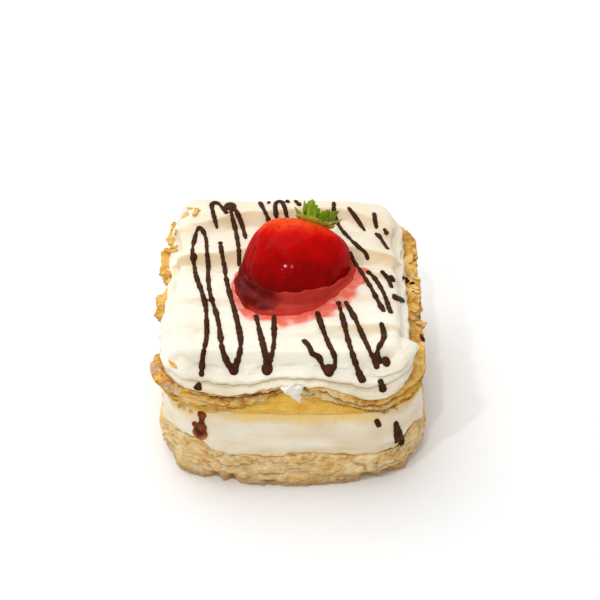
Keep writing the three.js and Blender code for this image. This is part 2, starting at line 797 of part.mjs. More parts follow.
// The body with its points set on a fine grid, without the slivers that this closes up.
function settled(solid) {
  const { vertProperties, triVerts, numProp } = solid.getMesh();
  const spots = new Map();
  const positions = [];
  const place = Array.from({ length: vertProperties.length / numProp }, (unused, i) => {
    const spot = [0, 1, 2].map((k) => Math.round(vertProperties[i * numProp + k] / WELD) * WELD);
    const key = spot.map((value) => Math.round(value / WELD)).join();
    if (!spots.has(key)) {
      spots.set(key, spots.size);
      positions.push(...spot);
    }
    return spots.get(key);
  });
  const kept = new Map();
  for (let i = 0; i < triVerts.length; i += 3) {
    const face = [place[triVerts[i]], place[triVerts[i + 1]], place[triVerts[i + 2]]];
    if (new Set(face).size === 3) {
      const key = [...face].sort((a, b) => a - b).join();
      if (kept.has(key)) {
        kept.delete(key);
      } else {
        kept.set(key, face);
      }
    }
  }
  return outerShell(new wasm.Manifold(
    new wasm.Mesh({
      numProp: 3,
      vertProperties: Float32Array.from(positions),
      triVerts: Uint32Array.from([...kept.values()].flat()),
    }),
  ));
}

// A fused body without loose scraps and without the small hollows that its parts seal between them.
function outerShell(solid) {
  return solid.decompose().reduce((best, shell) => (shell.volume() > best.volume() ? shell : best));
}

function piece(name, solid, color, roughness) {
  const geometry = geometryOf(settled(solid));
  geometry.computeVertexNormals();
  const mesh = new THREE.Mesh(geometry, new THREE.MeshStandardMaterial({ color, roughness, metalness: 0 }));
  mesh.name = name;
  return mesh;
}

function creamTop() {
  let solid = creamLayer();
  const target = raycastMesh(solid);
  for (const stroke of STROKES) {
    solid = solid.add(strokeOn(target, stroke));
  }
  for (const drop of DROPS) {
    solid = solid.add(dropOn(target, drop));
  }
  return solid.subtract(glazeForm(GAP)).subtract(berrySeat());
}

const group = new THREE.Group();
group.add(
  piece('pastry_bottom', pastryBottom(), 0xd9b98a, 0.85),
  piece('cream_filling', creamFilling(), 0xf3ead6, 0.55),
  piece('pastry_top', pastryTop(), 0xc98d45, 0.8),
  piece('cream_top', creamTop(), 0xf7efdc, 0.5),
  piece('glaze_pool', glazePool(), 0x9c1414, 0.12),
  piece('strawberry', strawberry(), 0xc01a12, 0.15),
  piece('calyx', calyx(), 0x6f9a2a, 0.6),
);

const extent = new THREE.Box3().setFromObject(group);
group.position.x = -(extent.min.x + extent.max.x) / 2;
group.position.y = -(extent.min.y + extent.max.y) / 2;

export default group;
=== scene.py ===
"""The looks of a square mille feuille slice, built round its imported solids.

Shapes are worked out in millimetres, with +Z up and the front of the slice towards -Y, and are
turned to metres where a mesh is made.
"""

import math
from itertools import product

import bpy
import numpy as np
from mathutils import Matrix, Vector
from mathutils.bvhtree import BVHTree


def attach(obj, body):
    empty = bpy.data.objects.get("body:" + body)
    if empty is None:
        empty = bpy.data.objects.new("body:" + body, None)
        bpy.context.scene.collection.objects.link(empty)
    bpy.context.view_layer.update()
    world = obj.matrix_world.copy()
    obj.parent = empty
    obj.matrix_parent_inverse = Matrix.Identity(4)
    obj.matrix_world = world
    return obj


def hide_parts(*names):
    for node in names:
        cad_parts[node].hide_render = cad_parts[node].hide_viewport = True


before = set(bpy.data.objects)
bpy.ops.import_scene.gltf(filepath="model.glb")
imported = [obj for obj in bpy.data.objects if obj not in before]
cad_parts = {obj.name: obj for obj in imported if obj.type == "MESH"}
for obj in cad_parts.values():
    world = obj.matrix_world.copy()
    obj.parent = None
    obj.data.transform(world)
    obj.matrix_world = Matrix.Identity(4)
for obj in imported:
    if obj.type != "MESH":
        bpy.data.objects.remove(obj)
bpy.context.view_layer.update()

# ------------------------------------------------------------------ driving dimensions

MM = 0.001
MIDDLE = np.array([0.17, -0.65])  # the layers' common middle in the shared frame
WIDTH = 104
DEPTH = 106
SHEET_BASE = 12  # top of the bottom pastry sheet
FILLING_TOP = 33
SHEET_TOP = 45  # top of the upper pastry sheet
CREAM_TOP = 57  # crest of the piped cream
GAP = 0.2  # half the clearance between touching layers


def foot(left, right, front, back, radius):
    """A footprint with round corners: how far each side stays inside the whole."""
    return {
        "left": left - WIDTH / 2,
        "right": WIDTH / 2 - right,
        "front": front - DEPTH / 2,
        "back": DEPTH / 2 - back,
        "radius": radius,
    }


FLOOR_FOOT = foot(3, 3, 2.5, 3.5, 28)
BASE_FOOT = foot(2.2, 2.2, 1.5, 2, 26)
FILLING_FOOT = foot(4.5, 4.5, 5, 3.5, 19)
CREAM_FOOT = foot(4.5, 9, 4.5, 1.8, 13)
CREST_FOOT = foot(7.5, 12.5, 11, 1.2, 11)

# ------------------------------------------------------------------ numbers, noise and curves


def mix(a, b, t):
    return a + (b - a) * t


def smooth(low, high, value):
    t = np.clip((value - low) / (high - low), 0, 1)
    return t * t * (3 - 2 * t)


def phase(seed, wave):
    value = math.sin(seed * 12.9898 + wave * 78.233) * 43758.5453
    return value - math.floor(value)


def wobble(t, seed, waves):
    """Smooth unevenness round a closed outline, as t goes from 0 to 1."""
    total = sum(np.sin(2 * np.pi * (wave * t + phase(seed, wave))) for wave in waves)
    return total / math.sqrt(len(waves) * 2)


def corner_value(x, y, z, seed):
    """A repeatable random number from -1 to 1 at each whole-number point."""
    mask = 0xFFFFFFFF
    key = (x * 73856093) ^ (y * 19349663) ^ (z * 83492791) ^ (seed * 374761393)
    key = ((key & mask) ^ ((key & mask) >> 13)) * 1274126177
    key = (key & mask) ^ ((key & mask) >> 16)
    return key / (mask / 2) - 1


def noise(x, y, z, seed=0):
    """Smooth random values from -1 to 1, with features about one unit across."""
    where = [np.asarray(value, float) for value in np.broadcast_arrays(x, y, z)]
    cell = [np.floor(value).astype(np.int64) for value in where]
    eased = [smooth(0, 1, value - whole) for value, whole in zip(where, cell)]
    total = 0
    for steps in product((0, 1), repeat=3):
        weight = 1
        for share, step in zip(eased, steps):
            weight = weight * (share if step else 1 - share)
        spot = [whole + step for whole, step in zip(cell, steps)]
        total = total + weight * corner_value(*spot, seed)
    return total


def grain(x, y, z, *layers):
    """Noise in layers, each given by its depth, its width, its height and a seed."""
    return sum(depth * noise(x / wide, y / wide, z / tall, seed) for depth, wide, tall, seed in layers)


def eased_between(xs, ys, x):
    """A value eased between samples."""
    i = np.clip(np.searchsorted(xs, x) - 1, 0, len(xs) - 2)
    low, high = np.asarray(xs)[i], np.asarray(xs)[i + 1]
    return mix(np.asarray(ys)[i], np.asarray(ys)[i + 1], smooth(0, 1, (x - low) / (high - low)))


def eased_along(table, x):
    """A value eased between the rows of a table of pairs."""
    return eased_between(*zip(*table), x)


def straight_along(table, x):
    """A value on straight lines between the rows of a table of pairs."""
    return np.interp(x, *zip(*table))


def unit(vectors):
    """Vectors cut to a length of 1."""
    return vectors / np.linalg.norm(vectors, axis=-1, keepdims=True)


def rotated(a, b, angle):
    """Two coordinates turned by an angle, from the first axis towards the second."""
    c, s = math.cos(angle), math.sin(angle)
    return a * c - b * s, a * s + b * c


def spline(points, step):
    """Points every step along a smooth curve through the given ones."""
    knots = np.array(points, float)
    padded = np.vstack([2 * knots[0] - knots[1], knots, 2 * knots[-1] - knots[-2]])
    t = np.linspace(0, 1, 24, endpoint=False)[:, None]
    pieces = []
    for a, b, c, d in zip(padded, padded[1:], padded[2:], padded[3:]):
        square = (2 * a - 5 * b + 4 * c - d) * t**2
        cube = (3 * b - a - 3 * c + d) * t**3
        pieces.append(0.5 * (2 * b + (c - a) * t + square + cube))
    line = np.vstack([*pieces, knots[-1:]])
    run = np.concatenate([[0], np.cumsum(np.linalg.norm(np.diff(line, axis=0), axis=1))])
    spots = np.linspace(0, run[-1], max(3, int(run[-1] / step) + 1))
    return np.stack([np.interp(spots, run, column) for column in line.T], 1)


# ------------------------------------------------------------------ outlines of the layers

RIM_FRONT = 230  # points along the front of each rim
RIM_SIDE = 150
RIM_BACK = 140


def unit_rim():
    """The unit square's rim, anticlockwise from above, from the front left corner."""
    a = np.linspace(-1, 1, RIM_FRONT, endpoint=False)
    b = np.linspace(-1, 1, RIM_SIDE, endpoint=False)
    c = np.linspace(-1, 1, RIM_BACK, endpoint=False)
    sides = [(a, -1 + 0 * a), (1 + 0 * b, b), (-c, 1 + 0 * c), (-1 + 0 * b, -b)]
    return np.concatenate([np.stack(side, 1) for side in sides])


def rim_share():
    """How far round each rim point is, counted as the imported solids' rims are."""
    front = 18 / 88  # the front's share of their points
    starts = [0, front, 0.5, 0.5 + front, 1]
    counts = [RIM_FRONT, RIM_SIDE, RIM_BACK, RIM_SIDE]
    spans = zip(starts, starts[1:], counts)
    return np.concatenate([np.linspace(*span, endpoint=False) for span in spans])


RIM = unit_rim()
ROUND = rim_share()


def middle_of(shape):
    return np.array([shape["left"] + shape["right"], shape["front"] + shape["back"]]) / 2


def edge_of(shape, spots=RIM):
    """Points of the unit square's rim carried to a footprint, and the way out at each."""
    half = np.array([shape["right"] - shape["left"], shape["back"] - shape["front"]]) / 2
    core = np.clip(spots * half, shape["radius"] - half, half - shape["radius"])
    away = unit(spots * half - core)
    return middle_of(shape) + core + away * shape["radius"], away


# ------------------------------------------------------------------ heights of the layers' faces

CORNER_LIFT = 6.5  # of the bottom sheet's curled corners
FRONT_FADE = 26  # how far back the upper sheet's sags reach
SAGS = [(-24, 23, 4.2), (31, 24, 6.6)]  # middle, half width and depth
# The valleys between the piped ropes: their y at each x of VALLEY_AT, from the front one back.
VALLEY_AT = [-45, -15, 15, 45]
VALLEYS = [[-30, -31, -31, -29], [-14, -13, -12, -14], [0, 2, 3, 1], [12, 13, 13, 11], [23, 38, 41, 27]]
VALLEY_SHARES = [1, 0.9, 0.35, 0.55, 1.0, 1.1, 0.3]  # of the depth, with the front and back edges
VALLEY_DEPTH = 2.8
CREST_AT = -0.3  # each rope's crest, on the way from its near valley at -1 to its far one at 1
EDGE_ROUND = 7  # how far in from its edge the cream's top is rounded
EDGE_DROP = 2.2
BACK_SHARPNESS = 2.4  # how many times less the back edge is rounded
BACK_LIFT = 1.1  # how much the cream stands up there
# The mound at the front right corner.
BULB = {"x": 36.5, "y": -35, "half_width": 7, "half_depth": 6.6, "height": 3.4}


def floor_height(x, y):
    return 0 * x


def base_height(x, y):
    side = np.maximum(smooth(-28, -36, x), smooth(38, 45, x))
    curl = CORNER_LIFT * side * smooth(26, 40, np.abs(y))
    waves = 0.7 * np.sin(x / 6.5) * smooth(20, 45, np.abs(y)) + 0.5 * np.sin(y / 9)
    ragged = grain(x, y, 0, (0.9, 4.5, 1, 14), (0.45, 1.6, 1, 15))
    torn = 2.4 * smooth(-44, -50, y)
    return SHEET_BASE + curl + waves + ragged + torn


def filling_height(x, y):
    ragged = grain(x, y, 0, (0.5, 5, 1, 16), (0.25, 1.5, 1, 17))
    return FILLING_TOP + 0.6 * np.sin(x / 11 + 1) * np.cos(y / 13) + ragged


def sheet_height(x, y):
    near = smooth(FRONT_FADE, 0, y - CREAM_FOOT["front"])
    sag = 0
    for centre, half_width, depth in SAGS:
        t = np.clip((x - centre) / half_width, -1, 1)
        sag = sag + depth * np.cos(np.pi / 2 * t) ** 2
    lumps = grain(x, y, 0, (0.45, 3.5, 1, 18), (0.3, 1.3, 1, 19))
    return SHEET_TOP + 1.5 * near - sag * near + 0.5 * np.sin(y / 8) * (1 - near) + lumps


def rope_at(x, y):
    """0 in the deepest valleys between the piped ropes, 1 on their crests."""
    lines = [
        eased_between(VALLEY_AT, line, x) + 1.5 * noise(x / 13, number * 7, 3, seed=5)
        for number, line in enumerate(VALLEYS)
    ]
    sides = [CREST_FOOT["front"] - 1 + 0 * x, *lines, CREST_FOOT["back"] + 1 + 0 * x]
    rope = 0 * x
    for near, far, near_share, far_share in zip(sides, sides[1:], VALLEY_SHARES, VALLEY_SHARES[1:]):
        inside = (y >= near) & (y < far)
        t = np.clip(2 * (y - near) / (far - near) - 1, -1, 1)
        rising = 1 - near_share * (1 - np.clip((t + 1) / (CREST_AT + 1), 0, 1) ** 1.5)
        falling = 1 - far_share * (1 - smooth(1.1, CREST_AT - 0.5, t) ** 0.8)
        rope = np.where(inside, np.minimum(rising, falling + 0.03), rope)
    return rope


def smeared_at(x, y):
    """1 where the front left of the cream is squashed smooth."""
    return smooth(-34, -42, x) * smooth(-12, -26, y)


def cream_height(x, y):
    rope = rope_at(x, y)
    deep = 1 + 0.75 * noise(x / 24, y / 13, 0, seed=13)
    valley = VALLEY_DEPTH * deep * (1 - rope) * (1 - 0.85 * smeared_at(x, y))
    to_back = BACK_SHARPNESS * (CREST_FOOT["back"] - y)
    sides = [x - CREST_FOOT["left"], CREST_FOOT["right"] - x, y - CREST_FOOT["front"], to_back]
    inside = np.clip(np.minimum.reduce(sides) / EDGE_ROUND, 0, 1)
    shoulder = EDGE_DROP * (1 - np.sqrt(1 - (1 - inside) ** 2))
    sway = 0.5 * np.sin(x / 9 + 0.7) + 0.4 * np.sin(y / 17 + x / 23)
    soft = 0.55 * noise(x / 12, y / 7, 0, seed=11) + 0.16 * noise(x / 3.5, y / 1.8, 0, seed=12)
    from_bulb = ((x - BULB["x"]) / BULB["half_width"]) ** 2 + ((y - BULB["y"]) / BULB["half_depth"]) ** 2
    bulb = BULB["height"] * np.exp(-(from_bulb**2))
    lift = BACK_LIFT * smooth(34, 46, y) * smooth(42, 15, x) * smooth(-44, -34, x)
    return CREAM_TOP - valley - shoulder + sway + soft + bulb + lift - 0.3


def face(shape, height, offset=0):
    """A face of a layer, moved by its clearance from its neighbour."""
    return {"foot": shape, "height": lambda x, y: height(x, y) + offset}


# ------------------------------------------------------------------ closed bodies from rings


def wall_rows(lower, upper, levels, push):
    """Rings of points from the lower rim up to the upper one, each point pushed out by push."""
    (low, low_away), (high, high_away) = edge_of(lower["foot"]), edge_of(upper["foot"])
    low_z, high_z = lower["height"](*low.T), upper["height"](*high.T)
    rows = []
    for at in levels:
        spot = mix(low, high, at)
        z = mix(low_z, high_z, at)
        out = push(at, *spot.T, z)
        spot = spot + mix(low_away, high_away, at) * np.reshape(out, (-1, 1))
        rows.append(np.column_stack([spot, z]))
    return rows


def cap_rows(layer, rim, shares):
    """Rings inside a rim, drawn in towards the middle of the layer's footprint."""
    spots = [mix(middle_of(layer["foot"]), rim[:, :2], share) for share in shares]
    return [np.column_stack([spot, layer["height"](*spot.T)]) for spot in spots]


def quads(*corners):
    """Four-sided faces from the point numbers of their corners."""
    return np.stack([np.ravel(corner) for corner in corners], 1).tolist()


def closed_sleeve(rows):
    """A closed body from rings that start under its middle, go out, up its side and back in."""
    count = len(rows[0])
    points = np.concatenate([*rows, [rows[0].mean(0)], [rows[-1].mean(0)]])
    first = np.arange(count)
    second = np.roll(first, -1)
    step = count * np.arange(len(rows) - 1)[:, None]
    faces = quads(step + first, step + second, step + count + second, step + count + first)
    last = count * (len(rows) - 1)
    sides = list(zip(first.tolist(), second.tolist()))
    faces += [[len(points) - 2, b, a] for a, b in sides]
    faces += [[last + a, last + b, len(points) - 1] for a, b in sides]
    return points, faces


def layer_body(lower, upper, levels, push, under, over):
    """A closed layer between two faces; under and over are the shares of the faces' rings."""
    side = wall_rows(lower, upper, levels, push)
    return closed_sleeve(cap_rows(lower, side[0], under) + side + cap_rows(upper, side[-1], over))


def two_sided(ring, shares):
    """A closed body from the rings of its under side and of its upper side."""
    under = [ring(share, -1) for share in shares]
    over = [ring(share, 1) for share in shares[::-1]]
    return closed_sleeve(under + over)


class Shells:
    """Several closed shells gathered into one mesh, with values at each point."""

    def __init__(self, *values):
        self.points, self.faces, self.count = [], [], 0
        self.values = {name: [] for name in values}

    def add(self, points, faces, **values):
        self.faces += [[index + self.count for index in one] for one in faces]
        self.points.append(points)
        self.count += len(points)
        for name, value in values.items():
            self.values[name].append(np.broadcast_to(value, len(points)))

    def piece(self, name, **settings):
        values = {key: np.concatenate(lists) for key, lists in self.values.items()}
        return make_piece(name, np.concatenate(self.points), self.faces, values=values, **settings)


def linked(name, data):
    """An object of the scene, made from its mesh, light or camera."""
    made = bpy.data.objects.new(name, data)
    bpy.context.scene.collection.objects.link(made)
    return made


def keep_values(mesh, values):
    """Keeps a number at each of the mesh's points, for its material to read."""
    for key, numbers in values.items():
        attribute = mesh.attributes.new(key, "FLOAT", "POINT")
        attribute.data.foreach_set("value", np.asarray(numbers, np.float32))


def make_piece(name, points, faces, values, slot, material, nodes=()):
    """A mesh piece of the object, riding on its only body, in place of the named nodes."""
    mesh = bpy.data.meshes.new(name)
    mesh.from_pydata(((points + [*MIDDLE, 0]) * MM).tolist(), [], faces)
    mesh.shade_smooth()
    keep_values(mesh, values)
    mesh.materials.append(material)
    piece = linked(name, mesh)
    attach(piece, "root")
    if nodes:
        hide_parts(*nodes)
    return piece


# ------------------------------------------------------------------ materials


class Material:
    """A node material round one Principled shader."""

    def __init__(self, name, **settings):
        self.material = bpy.data.materials.new(name)
        self.material.use_nodes = True
        self.tree = self.material.node_tree
        self.shader = self.tree.nodes["Principled BSDF"]
        for socket, value in settings.items():
            self.shader.inputs[socket.replace("_", " ")].default_value = value
        self.place = self.node("ShaderNodeTexCoord").outputs["Object"]

    def node(self, kind, inputs=None, **settings):
        made = self.tree.nodes.new(kind)
        for key, value in settings.items():
            setattr(made, key, value)
        for key, value in (inputs or {}).items():
            self.feed(made.inputs[key], value)
        return made

    def feed(self, socket, value):
        if isinstance(value, bpy.types.NodeSocket):
            self.tree.links.new(value, socket)
        else:
            socket.default_value = value

    def value(self, name):
        """A value kept at the mesh's points."""
        return self.node("ShaderNodeAttribute", attribute_name=name).outputs["Fac"]

    def noise(self, scale, detail=4, rough=0.55, place=None):
        inputs = {"Vector": place or self.place, "Scale": scale, "Detail": detail, "Roughness": rough}
        return self.node("ShaderNodeTexNoise", inputs).outputs["Fac"]

    def ramp(self, source, *stops):
        made = self.node("ShaderNodeValToRGB", {"Fac": source})
        band = made.color_ramp.elements
        while len(band) < len(stops):
            band.new(0.5)
        for element, (at, color) in zip(band, stops):
            element.position = at
            element.color = (*color, 1)
        return made.outputs["Color"]

    def grey(self, source, low, high, dark=0.0, light=1.0):
        """The source's range from low to high spread over dark to light."""
        inputs = {"Value": source, "From Min": low, "From Max": high, "To Min": dark, "To Max": light}
        return self.node("ShaderNodeMapRange", inputs).outputs["Result"]

    def spread(self, source, dark, light):
        """The usual range of a noise spread over dark to light."""
        return self.grey(source, 0.3, 0.7, dark, light)

    def mottle(self, scale, detail, dark, light):
        return self.spread(self.noise(scale, detail), dark, light)

    def math(self, operation, a, b):
        return self.node("ShaderNodeMath", {0: a, 1: b}, operation=operation).outputs[0]

    def blend(self, share, a, b):
        made = self.node("ShaderNodeMix", data_type="RGBA")
        self.feed(made.inputs[0], share)
        colors = [socket for socket in made.inputs if socket.type == "RGBA"]
        for socket, value in zip(colors, (a, b)):
            self.feed(socket, (*value, 1) if isinstance(value, tuple) else value)
        return [socket for socket in made.outputs if socket.type == "RGBA"][0]

    def finished(self, color, rough, *layers):
        """The material with its colour, roughness, and bump layers as (height, depth in millimetres)."""
        self.feed(self.shader.inputs["Base Color"], color)
        self.feed(self.shader.inputs["Roughness"], rough)
        normal = None
        for height, depth in layers:
            inputs = {"Height": height, "Strength": 1.0, "Distance": depth * MM}
            if normal:
                inputs["Normal"] = normal
            normal = self.node("ShaderNodeBump", inputs).outputs[0]
        if normal:
            self.feed(self.shader.inputs["Normal"], normal)
        return self.material


def under_skin(weight, scale, radius):
    """Settings for light that goes in under the skin."""
    return {"Subsurface_Weight": weight, "Subsurface_Scale": scale, "Subsurface_Radius": radius}


def wet(weight, rough):
    """Settings for a clear coat over a skin that has no gloss of its own."""
    return {"Specular_IOR_Level": 0.0, "Coat_Weight": weight, "Coat_Roughness": rough, "Coat_IOR": 1.34}


SOAKED = (1.0, 0.65, 0.13)  # pastry soaked through by the cream
SOAKED_DARK = (0.88, 0.44, 0.03)
CREAM_SMEAR = (0.96, 0.83, 0.58)


def pastry_material(name, pale, golden, brown, crevice_shade, streak_depth, crumb_depth):
    m = Material(name, Specular_IOR_Level=0.3, **under_skin(0.06, 0.001, (1.0, 0.5, 0.2)))
    stretched = m.node("ShaderNodeMapping", {"Vector": m.place, "Scale": (170, 170, 900)}).outputs[0]
    streaks = m.noise(1, 5, 0.6, stretched)
    patches = m.noise(170, 6, 0.6)
    toast = m.math("ADD", m.value("toast"), m.spread(patches, -0.35, 0.35))
    toast = m.math("ADD", toast, m.spread(streaks, -0.2, 0.2))
    crust = m.ramp(toast, (0.0, pale), (0.5, golden), (1.0, brown))
    specks = [
        (330, 6, 0.5, 0.62, 0.65, golden),
        (480, 6, 0.5, 0.64, 0.7, pale),
        (620, 5, 0.6, 0.7, 0.55, brown),
    ]
    for scale, detail, low, high, most, tint in specks:
        crust = m.blend(m.grey(m.noise(scale, detail, 0.7), low, high, 0, most), crust, tint)
    soaked = m.math("ADD", m.spread(streaks, -0.3, 0.3), m.spread(patches, 0.2, 0.8))
    crust = m.blend(m.grey(m.value("soak"), 0, 1), crust, m.ramp(soaked, (0.1, SOAKED_DARK), (0.8, SOAKED)))
    crust = m.blend(m.grey(m.value("soak"), 0, -1, 0, 0.8), crust, CREAM_SMEAR)
    # Painted shade: the crust is blended towards a dark brown where shade falls, in splits, notches and
    # hollows, and low down.
    return m.finished(
        m.blend(m.value("gap"), crust, crevice_shade),
        m.spread(patches, 0.5, 0.8),
        (streaks, streak_depth), (m.noise(420, 6, 0.7), crumb_depth), (m.noise(1500, 3), 0.3),
    )


def cream_material(name, ivory, shaded_tan):
    m = Material(name, Specular_IOR_Level=0.4, **under_skin(0.35, 0.003, (1.0, 0.75, 0.45)))
    soft = m.noise(90, 3)
    # Painted shade: the cream is blended towards tan where shade falls, on slopes that face away from the
    # key lamp and under its lips, with some random tone.
    shade = m.math("ADD", m.value("shade_and_tone"), m.grey(soft, 0.35, 0.65, -0.06, 0.06))
    cream = m.blend(m.grey(shade, 0, 1), ivory, shaded_tan)
    cream = m.blend(m.value("gold"), cream, (0.80, 0.58, 0.24))
    soaked = m.math("MULTIPLY", m.value("soak"), m.grey(m.noise(350, 4), 0.35, 0.6, 0.55, 0.9))
    cream = m.blend(soaked, cream, (0.91, 0.60, 0.15))
    pink = m.math("MULTIPLY", m.value("pink"), m.mottle(260, 4, 0.6, 1.25))
    cream = m.blend(pink, cream, (0.78, 0.13, 0.075))
    return m.finished(cream, m.spread(soft, 0.38, 0.55), (m.noise(420, 3), 0.18), (m.noise(1600, 2), 0.06))


def chocolate_material():
    m = Material("chocolate", Specular_IOR_Level=0.07)
    bloom = m.noise(500, 4)
    color = m.ramp(bloom, (0.3, (0.030, 0.0085, 0.002)), (0.7, (0.078, 0.024, 0.006)))
    return m.finished(color, m.spread(bloom, 0.42, 0.65), (m.noise(900, 3), 0.12))


def sauce_material():
    m = Material("thin_sauce", Specular_IOR_Level=0.12, **under_skin(0.1, 0.001, (1.0, 0.5, 0.1)))
    thin = m.math("ADD", m.value("thin"), m.mottle(420, 3, -0.2, 0.2))
    dark, brown, amber = (0.045, 0.009, 0.001), (0.28, 0.055, 0.003), (0.72, 0.29, 0.035)
    color = m.ramp(thin, (0.1, dark), (0.5, brown), (1.0, amber))
    return m.finished(color, m.mottle(500, 2, 0.2, 0.35))


def berry_material():
    m = Material("strawberry", **wet(0.16, 0.03), **under_skin(0.08, 0.003, (1.0, 0.12, 0.08)))
    # The skin runs from dark maroon, which is painted shade low down, to orange-red, which is painted light
    # on the upper side together with the paler crown.
    skin = m.ramp(
        m.math("ADD", m.value("ripe_and_lit"), m.mottle(260, 4, -0.07, 0.07)),
        (0.0, (0.075, 0.0015, 0.001)),
        (0.35, (0.26, 0.001, 0.0008)),
        (0.70, (0.60, 0.002, 0.0008)),
        (1.0, (0.78, 0.062, 0.004)),
    )
    # Painted shade: the skin is darker in the pits round the seeds.
    skin = m.blend(m.value("pit"), skin, (0.10, 0.003, 0.002))
    return m.finished(skin, m.mottle(700, 3, 0.22, 0.36), (m.noise(1100, 3), 0.06))


def seed_material():
    m = Material("strawberry_seed", Specular_IOR_Level=0.05)
    color = m.ramp(m.noise(900, 3), (0.3, (0.06, 0.002, 0.001)), (0.7, (0.16, 0.009, 0.003)))
    return m.finished(color, m.mottle(1500, 2, 0.3, 0.5))


def glaze_material():
    m = Material("glaze", **wet(0.3, 0.04), **under_skin(0.2, 0.004, (1.0, 0.10, 0.06)))
    thin = m.math("ADD", m.value("thin"), m.mottle(300, 3, -0.1, 0.1))
    deep, red, light = (0.12, 0.003, 0.002), (0.48, 0.036, 0.022), (0.62, 0.04, 0.025)
    color = m.ramp(thin, (0.0, deep), (0.4, red), (1.0, light))
    return m.finished(color, m.mottle(200, 3, 0.12, 0.22), (m.noise(260, 2), 0.25))


def leaf_material():
    m = Material("leaf", Specular_IOR_Level=0.1, **under_skin(0.15, 0.001, (0.5, 1.0, 0.2)))
    veins = m.math("ADD", m.value("vein"), m.mottle(500, 4, -0.15, 0.15))
    green, light, yellow = (0.08, 0.165, 0.004), (0.20, 0.27, 0.007), (0.48, 0.42, 0.05)
    color = m.ramp(veins, (0.0, green), (0.4, light), (1.0, yellow))
    return m.finished(color, m.mottle(600, 3, 0.38, 0.55), (m.noise(1500, 3), 0.1), (m.value("vein"), 0.3))


def floor_material():
    m = Material("floor", Specular_IOR_Level=0.2)
    color = m.ramp(m.noise(30, 3), (0.3, (0.94, 0.94, 0.94)), (0.7, (0.96, 0.96, 0.96)))
    return m.finished(color, m.mottle(60, 2, 0.6, 0.7))


# ------------------------------------------------------------------ pastry sheets

PALE_CRUST = {
    "leaves": 3.2, "depth": 0.8, "tip": 0.8, "fine_leaves": 7, "fine_depth": 0.22, "fine_tip": 0.35,
    "wander": 2.2, "belly": 1.5, "seed": 20, "toast": 0.22, "flakes": 0.55, "blisters": 0.3,
    "cracks": 0.12,
}
GOLD_CRUST = {
    "leaves": 2.8, "depth": 2.3, "tip": 1.6, "fine_leaves": 8, "fine_depth": 0.6, "fine_tip": 0.6,
    "wander": 0.9, "belly": 1.6, "seed": 60, "toast": 0.36, "flakes": 0.7, "blisters": 0.2,
    "cracks": 0.4,
}
FADE = 0.04  # the share of a side's height over which its relief fades towards its edges
TOP_STRIP = 0.03  # the share of its height that has close rows of points
SIDE_FLARE = 6  # how far the right side of the upper sheet stands out at its top
LEFT_FLARE = 4.6
# Where the upper sheet shows on the left: middle and half width along y.
LEFT_PATCHES = [(27, 9), (1, 9), (45, 5), (-36, 12)]
LEAF_ROWS = 5  # steps from a torn leaf's root to its tip
LEAF_ROOT = 1.6  # how deep in the side it starts
LEAF_STEP = 0.75  # how much of its length each rim point stands for
SPREAD = (0.618034, 0.7548777)  # the multiples of these, less their whole parts, spread evenly

# How far the foot of the bottom sheet's front stands out, by x: it is broken off in steps.
FRONT_FOOT = [
    (-46, 0), (-42, 1.8), (-38, 1.7), (-33.6, 0.5), (-31.3, -0.8), (-29.9, -3.2), (-28.3, -2.8),
    (-26.3, -0.3), (-24.5, -1.2), (-23, -3.1), (-21.4, -0.8), (-19.9, 1.2), (-12, 1.6), (-5, 2.0),
    (3, 2.1), (11, 1.6), (20, 0.7), (25, -0.5), (26.2, -2.6), (28.5, -3.2), (32.3, -0.6),
    (33.8, -2.2), (34.9, -3.6), (38, 0), (41, 1.6), (45, 0),
]
# Hollows in its front: x, z, half width, half height, depth.
PITS = [(-8.6, 2.6, 2.6, 1.2, 1.5), (15, 4.6, 7, 1.0, 0.9), (-36, 6, 2, 1.2, 1.2), (3, 6.4, 4, 0.8, 0.8)]

# Below the upper sheet's front edge: the painted shadow line under its top leaf, and the split over the
# golden part soaked by the filling.
FRONT_AT = [-46, -40, -32, -26, -20, -15, -11, -8, -5, -1, 3, 8, 12, 16, 20, 26, 34, 42, 46]
LIP_DEPTH = [2.0, 2.0, 1.2, 1.2, 1.8, 1.8, 1.8, 1.8, 1.0, 0.6, 1.0, 1.6, 2.2, 3.4, 3.4, 2.4, 1.4, 2.2, 2.2]
SPLIT_DEPTH = [9, 8, 6.4, 6.0, 6.8, 5.8, 5.6, 4.6, 3.8, 3.2, 5.6, 4.9, 6.6, 6.6, 5.7, 4.8, 4.8, 6, 7]
BORDER_DEPTH = 3.4  # below the bottom sheet's top, where it is browner and smeared with cream


def flake_cells(x, y, z, wide, tall, seed):
    """Flat broken flakes: a random number for each, and how close its border is, from 0 to 1."""
    where = [x / wide, y / wide, z / tall]
    cell = [np.floor(value).astype(np.int64) for value in where]
    first = np.full(np.shape(x), 9.0)
    second = first.copy()
    own = np.zeros(np.shape(x))
    for steps in product((-1, 0, 1), repeat=3):
        spot = [whole + step for whole, step in zip(cell, steps)]
        squares = [
            (value - whole - 0.5 - 0.45 * corner_value(*spot, seed + k)) ** 2
            for k, (value, whole) in enumerate(zip(where, spot))
        ]
        far = np.sqrt(sum(squares))
        nearer = far < first
        second = np.where(nearer, first, np.minimum(second, far))
        own = np.where(nearer, corner_value(*spot, seed + 5), own)
        first = np.minimum(first, far)
    return own, np.clip(1 - (second - first) / 0.22, 0, 1)


def leaf_edges(x, y, at, leaves, wander, seed):
    """Edges of wandering leaves of pastry: how far each tip reaches, and the crest of each leaf."""
    drift = noise(x / 20, y / 20, at * 1.5, seed) + 0.5 * noise(x / 6, y / 6, at * 4, seed + 1)
    layer = at * leaves + wander * drift
    index = np.floor(layer)
    crest = 1 - np.abs(2 * (layer - index) - 1) ** 3
    tip = 0.65 * noise(x / 6, y / 6, index * 7.31, seed + 2)
    return tip + 0.35 * noise(x / 1.7, y / 1.7, index * 3.17, seed + 3), crest


